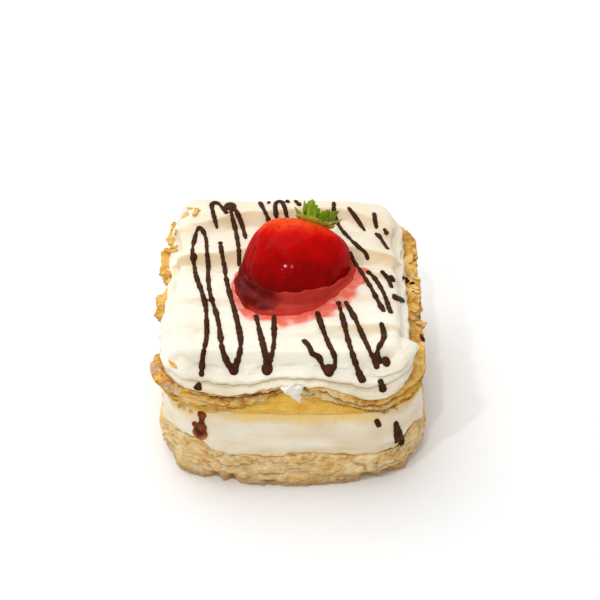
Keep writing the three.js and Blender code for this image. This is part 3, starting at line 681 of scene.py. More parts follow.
def crust_relief(crust, at, x, y, z):
    """How far a flaky side stands out, how much painted shade lies in its splits, and how toasted it is."""
    wander, seed = crust["wander"], crust["seed"]
    tip, crest = leaf_edges(x, y, at, crust["leaves"], wander, seed)
    fine_tip, fine_crest = leaf_edges(x, y, at, crust["fine_leaves"], 1.6 * wander, seed + 10)
    split = smooth(-0.5, 0.35, noise(x / 9, y / 9, at * 3, seed + 20))
    fine_split = smooth(-0.35, 0.4, noise(x / 4, y / 4, at * 5, seed + 21))
    out = crust["tip"] * tip * crest - crust["depth"] * (1 - crest) * split
    fine_groove = crust["fine_depth"] * (1 - fine_crest) * fine_split
    out = out + crust["fine_tip"] * fine_tip * fine_crest - fine_groove
    bent = z + grain(x, y, z, (0.9, 7, 3, seed + 24))
    flake, border = flake_cells(x, y, bent, 5.5, 1.7, seed + 30)
    small, small_border = flake_cells(x, y, bent, 2.2, 0.8, seed + 40)
    out = out + crust["flakes"] * (0.65 * flake + 0.3 * small - 0.45 * border**2 - 0.2 * small_border**2)
    blisters = grain(x, y, z, (crust["blisters"], 0.9, 0.7, seed + 23))
    cracks = crust["cracks"] * (1 - fine_crest) ** 1.5 * fine_split
    # Painted shade in the splits between the leaves, in fine cracks and round the flakes' borders.
    gap = 0.8 * (1 - crest) ** 1.2 * split + cracks + 0.3 * border**3
    return out + blisters, np.clip(gap, 0, 1), 0.22 * flake + 0.12 * small


def bottom_front(x, y, z, out, gap, toast):
    """The bottom sheet's front: its notches and hollows, with painted shade in them and towards its foot."""
    front = smooth(-36, -42, y)
    foot_share = smooth(7.5, 3, z + grain(x, 0, z, (0.8, 2, 2, 26)))
    foot_out = straight_along(FRONT_FOOT, x) * front * foot_share
    out = out + foot_out
    # Painted shade in the notches where the foot is broken back, and below in the hollows.
    gap = np.maximum(gap, 0.4 * smooth(-1.4, -3, foot_out))
    for middle, height, half, tall, depth in PITS:
        bite = np.exp(-(((x - middle) / half) ** 4) - ((z - height) / tall) ** 2) * front
        out = out - depth * bite
        gap = np.maximum(gap, 0.55 * bite)
    border = (base_height(x, y) - z + grain(x, 0, z, (0.8, 1.3, 1.3, 27))) / BORDER_DEPTH
    browned = 0.55 * smooth(1, 0.3, border) * smooth(-0.3, 0.4, grain(x, y, z, (1, 2.5, 2, 28)))
    # Painted shade darkening the sheet towards its foot on the floor.
    gap = np.maximum(gap, 0.75 * smooth(8.5, 1.5, z + noise(x / 4, y / 4, 0, 86)))
    smear = 0.7 * smooth(0.8, 0.2, border) * smooth(0, 0.4, grain(x, y, z, (1, 3.5, 1.5, 29)))
    return out, gap, toast + browned, -smear


def top_front(x, y, z, out, gap, toast):
    """The upper sheet's front: a lumpy top leaf, a leaf under it, and a smooth golden foot, with painted
    shadow under the top leaf and in the split.
    """
    front = smooth(-41, -45, y)
    top = sheet_height(x, y)
    uneven = grain(x, 0, 0, (0.4, 2.6, 1, 91), (0.3, 0.9, 1, 92))
    lip = top - eased_between(FRONT_AT, LIP_DEPTH, x) + uneven
    split = top - eased_between(FRONT_AT, SPLIT_DEPTH, x) + 1.2 * uneven
    over_lip = smooth(-0.25, 0.35, z - lip)
    over_split = smooth(-0.3, 0.3, z - split)
    foot_share = (1 - over_split) * smooth(-32, -22, x + 3 * uneven) * smooth(32, 24, x + 3 * uneven)
    lumps = 0.7 * noise(x / 2.4, 0, 0, 93) + 0.5 * noise(x / 1.1, 0, z / 2, 99)
    fibres = 0.10 * noise(x / 0.8, z / 9, 0, 94) + 0.3 * noise(x / 3, z / 4, 0, 95)
    # Painted shadow under the top leaf's lip, and painted shade deep in the split over the golden foot.
    under_lip_shadow = np.exp(-(((z - lip + 0.35) / 0.55) ** 2)) * smooth(-0.9, 0.2, noise(x / 4, 0, 0, 88))
    deep = np.exp(-(((z - split + 0.25) / 0.6) ** 2))
    leaf = 0.55 * out + (0.3 + 0.8 * lumps) * over_lip - 0.6 - 1.0 * under_lip_shadow
    slope = 2.4 * smooth(0, 6, z - FILLING_TOP)
    foot = mix(0.5 * out - 1.4, fibres - 0.9 - slope, foot_share)
    designed = mix(foot, leaf, over_split) - 0.9 * deep
    # Painted shade: the shadow under the lip, the split and the gaps darken the front, and the golden foot
    # is shaded near the split.
    dark = 0.75 * under_lip_shadow + 0.9 * deep + 0.5 * gap * (1 - foot_share)
    browned = toast + 0.3 * smooth(0.6, 1.6, z - lip) - 0.1 + grain(x, 0, z, (0.4, 3, 1.2, 87))
    dark = np.clip(dark + 0.25 * foot_share * np.exp(-np.abs(z - split) / 0.9), 0, 1)
    damp = np.clip(0.8 + grain(x, y, z, (0.6, 5, 2.5, 89)), 0, 1)
    corner = smooth(31, 39, np.abs(x)) * smooth(-22, -34, y - 8 * smooth(0, 30, x))
    side = 0.7 * smooth(40, 46, np.abs(x))
    in_front = np.maximum(foot_share, damp * (1 - over_split)) * front
    soak = np.maximum(in_front, damp * np.maximum(corner, side))
    smear = smooth(-0.1, 0.3, grain(x, y, z, (1, 3.5, 2, 85))) * smooth(-34, -40, x) * smooth(-22, -34, y)
    soak = mix(soak, -0.75, smear)
    return mix(out, designed, front), mix(gap, dark, front), mix(toast, browned, front), soak


def sheet_body(crust, lower, upper, levels, front, flare, stands_free=False):
    """A pastry sheet with a flaky side; returns its points, faces and the values at its points.

    Its edges meet the layers over and under it, unless nothing lies under it.
    """
    rows = {"gap": [], "toast": [], "soak": []}

    def push(at, x, y, z):
        out, gap, toast, soak = front(x, y, z, *crust_relief(crust, at, x, y, z))
        ends = np.clip((1 - at if stands_free else min(at, 1 - at)) / FADE, 0, 1)
        for name, values in (("gap", gap * ends), ("toast", toast), ("soak", soak * ends)):
            rows[name].append(values)
        return belly(crust, at) + out * ends + flare(at, x, y)

    under, over = np.linspace(0.15, 0.95, 6), np.linspace(0.97, 0.1, 12)
    points, faces = layer_body(lower, upper, levels, push, under, over)
    blank = len(RIM) * len(under), len(RIM) * len(over) + 2
    values = {name: np.pad(np.concatenate(lists), blank) for name, lists in rows.items()}
    patches = grain(*points.T, (0.28, 7, 2.5, crust["seed"] + 7))
    values["toast"] = crust["toast"] + patches + values["toast"]
    return points, faces, values


def belly(crust, at):
    """How far a sheet's side swells out at a share of its height."""
    return crust["belly"] * math.sin(math.pi * at) ** 0.6


def no_flare(at, x, y):
    return 0 * x


def side_flare(at, x, y):
    """The upper sheet shows as a strip on the right of the cream, and in patches on the left."""
    reach = SIDE_FLARE * smooth(20, 40, x) * smooth(-46, -34, y)
    ragged = 1 + 0.25 * noise(y / 2.5, 0, 0, 96)
    for middle, half in LEFT_PATCHES:
        within = smooth(half * ragged, 0.6 * half * ragged, np.abs(y - middle))
        reach = reach + LEFT_FLARE * smooth(-24, -42, x) * within
    return reach * min(at**2.2, (1 - at) / TOP_STRIP * (1 - TOP_STRIP))


def sheet_levels(count, strip):
    """Shares of a side's height: even ones, then a strip of close ones at the very top."""
    start = 1 - TOP_STRIP
    return np.concatenate([np.linspace(0, start, count, endpoint=False), np.linspace(start, 1, strip)])


def torn_leaf(shells, crust, lower, upper, start, length, at, reach, lift, thick, seed):
    """One thin torn leaf of pastry that stands out of a sheet's side."""
    first = int(start * len(RIM))
    columns = np.arange(first, first + max(6, int(length / LEAF_STEP))) % len(RIM)
    (low, low_away), (high, high_away) = [edge_of(side["foot"], RIM[columns]) for side in (lower, upper)]
    spot = mix(low, high, at)
    away = mix(low_away, high_away, at)
    z = mix(lower["height"](*low.T), upper["height"](*high.T), at)
    along = np.linspace(0, 1, len(columns))
    run = along * length
    ragged = 0.62 + 0.3 * noise(run / 4, seed, 0, 3) + 0.2 * noise(run / 1.3, seed, 5, 4)
    taper = np.sin(np.pi * np.clip(along, 0.02, 0.98)) ** 0.45
    flare = side_flare(at, *spot.T) if crust is GOLD_CRUST else 0
    root = belly(crust, at) - LEAF_ROOT
    drift = 0.8 * noise(run / 9, seed, 9, 5)
    sheets = []
    for side, row in product((1, -1), range(LEAF_ROWS + 1)):
        share = row / LEAF_ROWS
        out = root + flare + (LEAF_ROOT + reach * ragged * taper) * share
        bend = lift * share**2 * ragged + 0.35 * share * noise(run / 2.2, seed, row * 0.4, 6)
        edge = side * thick / 2 * (1 - 0.6 * share)
        sheets.append(np.column_stack([spot + away * out[:, None], z + drift + bend + edge]))
    top, under = np.arange(len(sheets) * len(columns)).reshape(2, LEAF_ROWS + 1, -1)
    faces = quads(top[:-1, :-1], top[1:, :-1], top[1:, 1:], top[:-1, 1:])
    faces += quads(under[:-1, :-1], under[:-1, 1:], under[1:, 1:], under[1:, :-1])
    faces += quads(top[-1, :-1], under[-1, :-1], under[-1, 1:], top[-1, 1:])
    faces += quads(top[0, 1:], under[0, 1:], under[0, :-1], top[0, :-1])
    faces += quads(top[:-1, 0], under[:-1, 0], under[1:, 0], top[1:, 0])
    faces += quads(top[1:, -1], under[1:, -1], under[:-1, -1], top[:-1, -1])
    share = np.tile(np.repeat(np.linspace(0, 1, LEAF_ROWS + 1), len(columns)), 2)
    toast = crust["toast"] + 0.25 * share**2 + 0.3 * phase(seed, 4) - 0.15
    # Painted shade towards the leaf's root, where it meets the sheet.
    gap = 0.45 * (1 - share) ** 2
    points = np.concatenate(sheets)
    damp = 0.7 * smooth(36, 42, np.abs(points[:, 0])) * smooth(-15, -28, points[:, 1])
    shells.add(points, faces, gap=gap, toast=toast, soak=damp if crust is GOLD_CRUST else 0)


def torn_leaves(name, crust, lower, upper, count, reach, material, slot):
    """Thin leaves spread evenly over a sheet's side."""
    shells = Shells("gap", "toast", "soak")
    draw = np.random.default_rng(crust["seed"])
    front = RIM_FRONT / len(RIM)
    for i in range(count):
        at = 0.08 + 0.84 * ((i * SPREAD[0]) % 1)
        start = (i * SPREAD[1]) % 1
        at_front = start < 0.96 * front or start > 0.98
        if at_front and (crust is GOLD_CRUST or at < 0.6):
            continue
        torn_leaf(
            shells, crust, lower, upper,
            start=start,
            length=draw.uniform(7, 26),
            at=at,
            reach=draw.uniform(0.3, 1) * reach * math.sin(math.pi * at) ** 0.3,
            lift=draw.uniform(-0.9, 1.1),
            thick=draw.uniform(0.25, 0.5),
            seed=i,
        )
    return shells.piece(name, slot=slot, material=material)


def make_bottom_sheet():
    material = pastry_material(
        "pale_pastry",
        pale=(0.96, 0.78, 0.45),
        golden=(0.86, 0.55, 0.19),
        brown=(0.56, 0.26, 0.05),
        crevice_shade=(0.46, 0.27, 0.10),
        streak_depth=0.15,
        crumb_depth=0.65,
    )
    lower = face(FLOOR_FOOT, floor_height)
    upper = face(BASE_FOOT, base_height, -GAP)
    levels = sheet_levels(70, 3)
    body = sheet_body(PALE_CRUST, lower, upper, levels, bottom_front, no_flare, stands_free=True)
    sheet = make_piece("bottom_sheet", *body, "pastry_pale", material, ["pastry_bottom"])
    settings = {"count": 60, "reach": 0.9, "material": material, "slot": "pastry_pale"}
    torn_leaves("bottom_sheet_leaves", PALE_CRUST, lower, upper, **settings)
    return sheet


def make_top_sheet(material):
    lower = face(FILLING_FOOT, filling_height, GAP)
    upper = face(CREAM_FOOT, sheet_height, -GAP)
    levels = sheet_levels(64, 14)
    points, faces, values = sheet_body(GOLD_CRUST, lower, upper, levels, top_front, side_flare)
    x, y, z = points.T
    strip = smooth(SHEET_TOP - 2.4, SHEET_TOP - 0.8, z) * smooth(34, 40, np.abs(x))
    points[:, 2] += strip * (grain(x, y, 0, (1, 4, 1, 97), (0.65, 1.4, 1, 98)) - 0.2)
    strip_toast = 0.12 * strip * (1 + 2 * noise(x / 2, y / 2, 0, 90))
    values["toast"] = values["toast"] + strip_toast + 0.2 * smooth(-38, -44, x)
    sheet = make_piece("top_sheet", points, faces, values, "pastry_golden", material, ["pastry_top"])
    settings = {"count": 150, "reach": 1.7, "material": material, "slot": "pastry_golden"}
    torn_leaves("top_sheet_leaves", GOLD_CRUST, lower, upper, **settings)
    return sheet


# ------------------------------------------------------------------ cream

SOFT_WAVES = [2, 3, 5]
# How far the side of the piped cream stands out, by share of its height.
CREAM_SIDE = [
    (0, 0), (0.1, 1.0), (0.22, 1.3), (0.31, -1.1), (0.42, 1.1), (0.55, 1.9), (0.72, 0.2), (0.84, -0.3),
    (1, 0),
]
# The same at the front right corner.
CORNER_SIDE = [
    (0, 0), (0.12, 1.2), (0.3, 2.6), (0.40, 1.2), (0.50, 3.6), (0.60, 4.0), (0.68, 2.6), (0.78, 6.6),
    (0.88, 6.4), (1, 4),
]


def make_filling(material):
    lower = face(BASE_FOOT, base_height, GAP)
    upper = face(FILLING_FOOT, filling_height, -GAP)

    def push(at, x, y, z):
        ends = math.sin(math.pi * at)
        soft = 0.2 * wobble(ROUND, 20 + round(at * 3), SOFT_WAVES)
        folds = grain(x, y, z, (0.55, 9, 3.2, 31), (0.22, 3, 1.4, 32))
        return 0.9 * ends - 0.5 + soft + folds * min(1, 3 * ends)

    caps = np.linspace(0.2, 0.95, 5)
    points, faces = layer_body(lower, upper, np.linspace(0, 1, 40), push, caps, np.linspace(0.95, 0.2, 5))
    x, y, z = points.T
    gold = 0.85 * smooth(FILLING_TOP - 5.5, FILLING_TOP - 0.5, z + grain(x, y, 0, (1.6, 5, 1, 34)))
    gold = np.maximum(gold, 0.5 * smooth(SHEET_BASE + 2.5, SHEET_BASE, z - (base_height(x, y) - SHEET_BASE)))
    soaked_to = FILLING_TOP - 2.6 + 1.5 * noise(x / 4, 0, 3, 35) + 0.9 * noise(x / 1.3, 0, z / 2, 36)
    blot = np.exp(-(((x - 4.5) / 3.2) ** 2) - ((z - FILLING_TOP + 2.2) / 1.3) ** 2)
    soak = smooth(-2.2, 2.2, z - soaked_to) * smooth(-24, -16, x) * smooth(32, 22, x) * smooth(-40, -44, y)
    values = {
        # Painted shade: the filling is a little tan all over, because it lies in shade under the upper
        # sheet. Random tone is added on top.
        "shade_and_tone": 0.42 + grain(x, y, z, (0.3, 10, 4, 33)),
        "gold": gold,
        "pink": 0 * x,
        "soak": np.maximum(soak, 0.5 * blot * smooth(-40, -44, y)),
    }
    return make_piece("filling", points, faces, values, "cream", material, ["cream_filling"])


def make_cream_top(material):
    def push(at, x, y, z):
        smeared = smooth(-30, -42, x) * smooth(0, -20, y)
        ends = math.sin(math.pi * at)
        fold = float(eased_along(CREAM_SIDE, at)) * (1 - 0.5 * smeared)
        rope = (rope_at(x, y) - 0.55) * 1.8 * smooth(34, 42, np.abs(x)) * smooth(0.1, 0.9, at)
        corner = smooth(26, 38, x) * smooth(-26, -34, y)
        fold = mix(fold, float(eased_along(CORNER_SIDE, at)), corner)
        soft = grain(x, y, z, (0.7, 5, 4, 41), (0.45, 2.4, 1.4, 42))
        soft = soft + grain(x, y, z, (0.8, 8, 5, 44)) * smooth(-34, -42, y)
        return fold + 2 * smeared * ends + rope * (1 - corner) + soft * min(1, 3 * ends)

    lower = face(CREAM_FOOT, sheet_height, GAP)
    upper = face(CREST_FOOT, cream_height)
    under, over = np.linspace(0.2, 0.95, 5), np.linspace(0.988, 0.04, 84)
    points, faces = layer_body(lower, upper, np.linspace(0, 1, 44), push, under, over)
    x, y, z = points.T
    on_top = z > CREAM_TOP - 6
    inner = smooth(CREST_FOOT["front"] + 2, CREST_FOOT["front"] + 8, y)
    # Painted shade on slopes that rise towards the back and so face away from the key lamp, with less at the
    # back left. The cream also gets more tan towards the back.
    climb = cream_height(x, y + 0.8) - cream_height(x, y - 0.8)
    shade_and_tone = np.where(on_top, smooth(0.1, 1.3, climb) * inner, 0)
    shaded = 0.6 - 0.22 * smooth(28, 36, y) * smooth(-26, -16, x)
    uneven = 0.1 * noise(x / 12, y / 8, z / 6, 43)
    shade_and_tone = shaded * shade_and_tone + 0.08 + uneven + 0.24 * smooth(-25, 40, y)
    share = (z - sheet_height(x, y)) / (CREAM_TOP - sheet_height(x, y))
    # Painted shade in a band under the front face's upper lip, and in a low band under its lower roll.
    band = np.exp(-(((share - 0.8) / 0.09) ** 2)) * smooth(CREST_FOOT["front"] + 2, CREST_FOOT["front"], y)
    low_band_shade = smooth(0.4, 0.28, share) * smooth(-30, -40, y)
    values = {
        "shade_and_tone": np.clip(shade_and_tone + 0.22 * band + 0.2 * low_band_shade, 0, 1),
        "gold": 0.35 * smooth(0.16, 0.0, (z - sheet_height(x, y)) / 12),
        "pink": pink_at(x, y) * on_top,
    }
    return make_piece("cream_top_skin", points, faces, values, "cream", material, ["cream_top"])


# ------------------------------------------------------------------ chocolate

POUR_SLANT = math.radians(40)
STREAM = Vector((0, math.cos(POUR_SLANT), -math.sin(POUR_SLANT)))
POUR_HEIGHT = 60
LONGEST_FALL = 5  # from one point of a run to the next
STROKE_STEP = 0.5
DRIZZLE_WIDTH = 2.25
DRIZZLE_RISE = 0.75
DRIZZLE_LIFT = 0.12  # of a stroke's middle line over the cream

# The strokes as drawn on a level sheet at the crest of the cream, before they fall on it: x, y.
STROKES = [
    [(-35.2, -66), (-34.6, -62.5), (-33.8, -58)],
    [(-33.2, -55.5), (-32.8, -46), (-31.6, -31), (-33, -13), (-37, 3), (-38.8, 15), (-38.7, 24), (-37, 33),
     (-34.2, 26), (-32.9, 12), (-31.9, -3), (-30.3, -12), (-27.6, -24), (-25.5, -40), (-22, -51),
     (-19.8, -45), (-19, -37), (-20.2, -26), (-24, -7), (-26, 5), (-28.5, 24)],
    [(-29.8, 31.5), (-31.3, 40), (-32.4, 47), (-31.4, 48.6), (-29.8, 48), (-27.9, 44.8), (-25.9, 41)],
    [(-24.8, 46), (-24.2, 40), (-22.6, 30.5), (-21.1, 19.3), (-20.8, 8)],
    [(-23.6, 46), (-22, 41.5), (-20.3, 35), (-18.4, 25)],
    [(-13.8, -20), (-11.4, -34), (-9.8, -43), (-9.2, -49), (-7.6, -43), (-6.8, -35), (-7, -18)],
    [(-13.7, 50), (-12.4, 46.4), (-10.6, 41), (-9.4, 36)],
    [(-10.2, 49.6), (-9.2, 47.8)],
    [(-6.4, 38), (-7.1, 45), (-6.8, 48.6), (-4.9, 49.6), (-3.5, 46), (-2.2, 38)],
    [(-2.8, 50.4), (-1.4, 48)],
    [(0.4, 50.4), (3.3, 46)],
    [(3.6, -34), (6, -38), (7.2, -42), (9.6, -44), (11, -49), (13, -51.5), (15, -50), (15.4, -44),
     (13, -36), (10.6, -26), (9, -18)],
    [(17, -12), (19, -25), (21, -38), (24, -52), (26, -59)],
    [(19.5, -12), (23.3, -23), (28, -40), (31.2, -51)],
    [(32.6, -24), (33.6, -32), (31, -40), (31.8, -46.5), (33.8, -46.5)],
    [(31.6, -56), (32.6, -60), (33.4, -64.5)],
    [(16.2, 49.4), (16.3, 42), (18, 34.5), (20.6, 28.5), (25, 21), (28, 17), (29.2, 12)],
    [(21.6, 46.2), (25.3, 38.4), (28.5, 30.2)],
    [(32.1, 42.6), (32.6, 36), (33.2, 31.8)],
    [(31.9, 29.4), (33.6, 27.8), (35.3, 23.8), (37, 18.5)],
    [(35.6, 32.8), (37.4, 28)],
    [(21.5, 18), (24.2, 10), (28.7, -2), (31.3, -10), (34.2, -19)],
    [(28, 6), (31, 1.5), (34.2, -7.5), (36.8, -20)],
    [(33.6, 6), (36.2, 1), (37.6, -5)],
]

# Round drops where a stroke turned: x, y, radius.
DROPS = [
    (-25, 46.4, 2.6), (-38.4, 14, 1.5), (-21.5, -51, 2.0), (-9.2, -50.5, 2.2), (13.2, -51.5, 2.1),
    (34, -46.5, 1.7),
]

# Chocolate that missed the cream, where the stream would meet the crest's level: x, y, half width.
DRIPS = [
    [(38.0, -81, 0.7), (38.9, -87, 1.8), (39.7, -92, 2.2), (40.2, -96, 2.1), (40.4, -97.6, 1.5)],
    [(30.6, -79.6, 0.9), (32.3, -85, 1.2)],
    [(37, 3.5, 1.0), (37.6, 1, 1.0), (39.2, -1, 1.1)],
    [(41.5, 3, 1.0), (43.4, 1.5, 1.1), (45.2, -1.5, 0.9)],
    [(37, -9, 1.6), (40.4, -11, 1.8), (42.8, -12, 1.3)],
    [(46.2, -0.5, 1.3), (46.4, -2.5, 1.2)],
    [(46.2, -5.8, 1.0), (46.8, -7, 1.0)],
    [(48.0, -31, 0.5), (49, -35, 0.9), (49.6, -37, 0.5)],
]
# Thin brown sauce on the left of the front: what ran down, as above, then blobs as x, y, radius
# and thinness, and the thin pools round them as x, y and radii.
SAUCE_RUN = [(-33.5, -75, 1.2), (-33.5, -78, 1.6), (-33.6, -80.5, 1.1), (-33.7, -83, 1.3), (-34, -86, 1.5)]
SAUCE_BLOBS = [
    (-36.1, -83.4, 1.4, 0.38), (-32.8, -85, 1.2, 0.34), (-35.7, -87.4, 1.3, 0.3), (-34.2, -88.2, 1.6, 0.05),
]
SAUCE_POOLS = [(-34.3, -85.4, (2.5, 2.7, 0.45)), (-34.4, -88.6, (2.9, 3.0, 0.6))]
DAB = [(-0.6, -59.2, 3.2), (0.4, -62.4, 3.7), (1.6, -65.6, 2.4), (2.4, -68.6, 1.0), (2.6, -71.6, 0.4)]
DAB_LUMPS = [(-2.2, -61), (2.0, -60.5)]
DAB_LUMP_RADII = (2.4, 1.8, 1.1)
POOL_HEAD = 1.2  # how far over a thin pool the point lies from which it thins outwards


def surface_of(*pieces):
    """A ray target of one or more pieces, in the layers' own millimetres."""
    points, faces = [], []
    for piece in pieces:
        faces += [[i + len(points) for i in polygon.vertices] for polygon in piece.data.polygons]
        points += [
            Vector((v.co.x / MM - MIDDLE[0], v.co.y / MM - MIDDLE[1], v.co.z / MM))
            for v in piece.data.vertices
        ]
    return BVHTree.FromPolygons(points, faces)


def poured_on(target, spots, longest=math.inf):
    """Where a stream that is poured at these spots first meets the target, and its face's normals.

    It ends where the stream would fall further than the longest step.
    """
    points, normals = [], []
    for x, y in spots:
        start = Vector((x, y, CREAM_TOP)) - STREAM * POUR_HEIGHT
        hit, normal, _, _ = target.ray_cast(start, STREAM)
        if hit is None:
            continue
        if points and (hit - points[-1]).length > longest:
            break
        points.append(hit)
        normals.append(normal)
    return np.array(points), np.array(normals)


def softened(values, times):
    for _ in range(times):
        padded = np.vstack([values[:1], values, values[-1:]])
        values = (padded[:-2] + 2 * padded[1:-1] + padded[2:]) / 4
    return values


def bead(path, normals, half_widths, rise, sides=12):
    """A low rounded bead along a path, half sunk in what it lies on."""
    across = unit(np.cross(normals, unit(np.gradient(path, axis=0))))
    turn = np.linspace(0, 2 * np.pi, sides, endpoint=False)
    rings = []
    for middle, side, up, half in zip(path, across, normals, half_widths):
        height = rise * half / half_widths.max()
        rings.append(middle + np.outer(np.cos(turn), side) * half + np.outer(np.sin(turn), up) * height)
    return closed_sleeve(rings)


def ends_taper(count, reach=3):
    """Shares of the full width that round off a bead's two ends."""
    i = np.arange(count)
    near = np.minimum(i, count - 1 - i)
    return np.sqrt(np.clip(1 - (1 - np.clip(near / reach, 0, 1)) ** 2, 0.06, 1))


def drop_shell(middle, normal, radii, turns=20, rings=10):
    """A rounded drop on a surface."""
    up = np.array(normal) / np.linalg.norm(normal)
    side = np.cross([0, 1, 0], up)
    side /= np.linalg.norm(side)
    front = np.cross(up, side)
    turn = np.linspace(0, 2 * np.pi, turns, endpoint=False)
    rows = []
    for k in range(1, rings):
        polar = np.pi * (k / rings - 0.5)
        ring = np.outer(np.cos(turn) * radii[0], side) + np.outer(np.sin(turn) * radii[1], front)
        rows.append(middle + ring * math.cos(polar) + up * math.sin(polar) * radii[2])
    return closed_sleeve(rows)


def poured_drop(target, x, y, radii):
    """A rounded drop where a stream that is poured at this spot meets the target."""
    path, normals = poured_on(target, [(x, y)])
    return drop_shell(path[0], normals[0], radii)


def remeshed(piece, voxel, rounds):
    """The piece's overlapping shells fused into one smooth skin."""
    fuse = piece.modifiers.new("fuse", "REMESH")
    fuse.mode = "VOXEL"
    fuse.voxel_size = voxel * MM
    fuse.use_smooth_shade = True
    relax = piece.modifiers.new("relax", "SMOOTH")
    relax.factor = 0.5
    relax.iterations = rounds
    bpy.context.view_layer.update()
    mesh = bpy.data.meshes.new_from_object(piece.evaluated_get(bpy.context.evaluated_depsgraph_get()))
    piece.modifiers.clear()
    materials = list(piece.data.materials)
    piece.data = mesh
    mesh.name = piece.name
    if not mesh.materials:
        mesh.materials.append(materials[0])
    mesh.shade_smooth()
    return piece


def make_drizzle(cream, material):
    target = surface_of(cream)
    shells = Shells()
    for i, stroke in enumerate(STROKES):
        path, normals = poured_on(target, spline(stroke, STROKE_STEP))
        path, normals = softened(path, 3) + DRIZZLE_LIFT * normals, softened(normals, 4)
        run = np.arange(len(path)) * STROKE_STEP
        unevenness = 1 + 0.2 * noise(run / 3.2, i, 0, 51) + 0.18 * noise(run / 1.1, i, 5, 52)
        wider = 0.85 + 0.14 * smooth(20, -40, path[:, 1]) + 0.4 * smooth(-40, -51, path[:, 1])
        half = DRIZZLE_WIDTH / 2 * unevenness * wider * ends_taper(len(path))
        shells.add(*bead(path, normals, half, DRIZZLE_RISE))
    for x, y, radius in DROPS:
        shells.add(*poured_drop(target, x, y, (radius, radius * 1.3, 1.1)))
    piece = shells.piece("drizzle", slot="chocolate", material=material, nodes=["cream_top"])
    return remeshed(piece, voxel=0.32, rounds=3)


def widening_bead(target, stroke, rise):
    """A bead whose half width is given at each of its points."""
    dense = spline(stroke, 0.4)
    path, normals = poured_on(target, dense[:, :2], LONGEST_FALL)
    unevenness = 1 + 0.15 * noise(np.arange(len(path)) / 2, 0, 0, 53)
    half = dense[: len(path), 2] * unevenness * ends_taper(len(path))
    return bead(softened(path, 6), softened(normals, 8), half, rise)


def make_drips(target, material):
    """Chocolate that missed the cream: on the filling's front and on the strip of pastry."""
    shells = Shells()
    for stroke in DRIPS:
        shells.add(*widening_bead(target, stroke, rise=0.8))
    piece = shells.piece("chocolate_drips", slot="chocolate", material=material)
    remeshed(piece, voxel=0.3, rounds=2)


def make_sauce(target):
    shells = Shells("thin")
    shells.add(*widening_bead(target, SAUCE_RUN, rise=0.9), thin=0.32)
    for x, y, radius, thin in SAUCE_BLOBS:
        shells.add(*poured_drop(target, x, y, (radius, radius, 0.8)), thin=thin)
    for x, y, radii in SAUCE_POOLS:
        path, normals = poured_on(target, [(x, y)])
        points, faces = drop_shell(path[0], normals[0], radii, turns=40, rings=16)
        thickest = path[0] + np.array([0, 0, POOL_HEAD])
        outward = np.linalg.norm(points - thickest, axis=1) / (radii[0] + POOL_HEAD)
        points = points + grain(*points.T, (0.35, 2.2, 2.2, 54))[:, None] * np.array([1, 0, 1])
        shells.add(points, faces, thin=0.3 + 0.6 * smooth(0.45, 1.05, outward))
    shells.piece("thin_sauce", slot="chocolate", material=sauce_material())


def make_dab(target, material):
    """A dab of cream with a drawn-out tip that hangs over the upper sheet's front edge."""
    shells = Shells()
    shells.add(*widening_bead(target, DAB, rise=1.3))
    for x, y in DAB_LUMPS:
        shells.add(*poured_drop(target, x, y, DAB_LUMP_RADII))
    piece = remeshed(shells.piece("cream_dab", slot="cream", material=material), voxel=0.3, rounds=2)
    plain = np.zeros(len(piece.data.vertices))
    keep_values(piece.data, {"shade_and_tone": plain, "gold": plain, "pink": plain})


# Where loose flakes of crust lie: how many, lowest and highest x and y for the stream, size.
FLAKE_FIELDS = [
    (26, (45.5, 50), (-34, 24), (1.4, 3.6)),
    (12, (-51, -46), (18, 36), (1.5, 3.6)),
    (10, (-51.5, -47), (-8, 10), (1.5, 3.6)),
    (5, (-44, -38), (40, 48), (1.5, 3)),
    (10, (22, 42), (-76, -73), (0.8, 1.8)),
    (8, (-44, -24), (-76, -72), (0.8, 1.8)),
]
# A larger one on the front left of the cream.
FLECK = {"at": (-43.4, -48.5), "size": 2.5, "spin": math.radians(-52), "long": 0.3, "seed": 3}
FLAKE_SPAN = 1.6  # about how many of its radii a flake measures across
FLAKE_HALF = 0.16  # half the thickness at its middle
LOWEST_FLAKE = 3  # none lies lower than this


def loose_flake(middle, normal, size, spin, long, seed, turns=16, rings=4):
    """A thin curled scrap of crust with a ragged outline."""
    turn = np.linspace(0, 2 * np.pi, turns, endpoint=False)
    ragged = 1 + 0.35 * noise(np.cos(turn) * 1.4 + seed, np.sin(turn) * 1.4, 0, 101)
    upright = Vector((phase(seed, 3) - 0.5, phase(seed, 4) - 0.5, 0.6))
    tip = Vector(normal).lerp(upright, 0.45).normalized()
    facing = np.array(tip.to_track_quat("Z", "Y").to_matrix())

    def ring(share, side):
        a = size * share * ragged * np.cos(turn)
        b = size * long * share * ragged * np.sin(turn)
        curl = (0.5 + phase(seed, 5)) * 0.16 * a**2 / size + 0.12 * noise(a * 1.5, b * 1.5, seed, 102)
        thick = side * FLAKE_HALF * (1 - 0.5 * share)
        flat = np.column_stack([*rotated(a, b, spin), curl + thick])
        return flat @ facing.T + middle + np.array(tip) * 0.35

    return two_sided(ring, np.linspace(0.2, 1, rings))


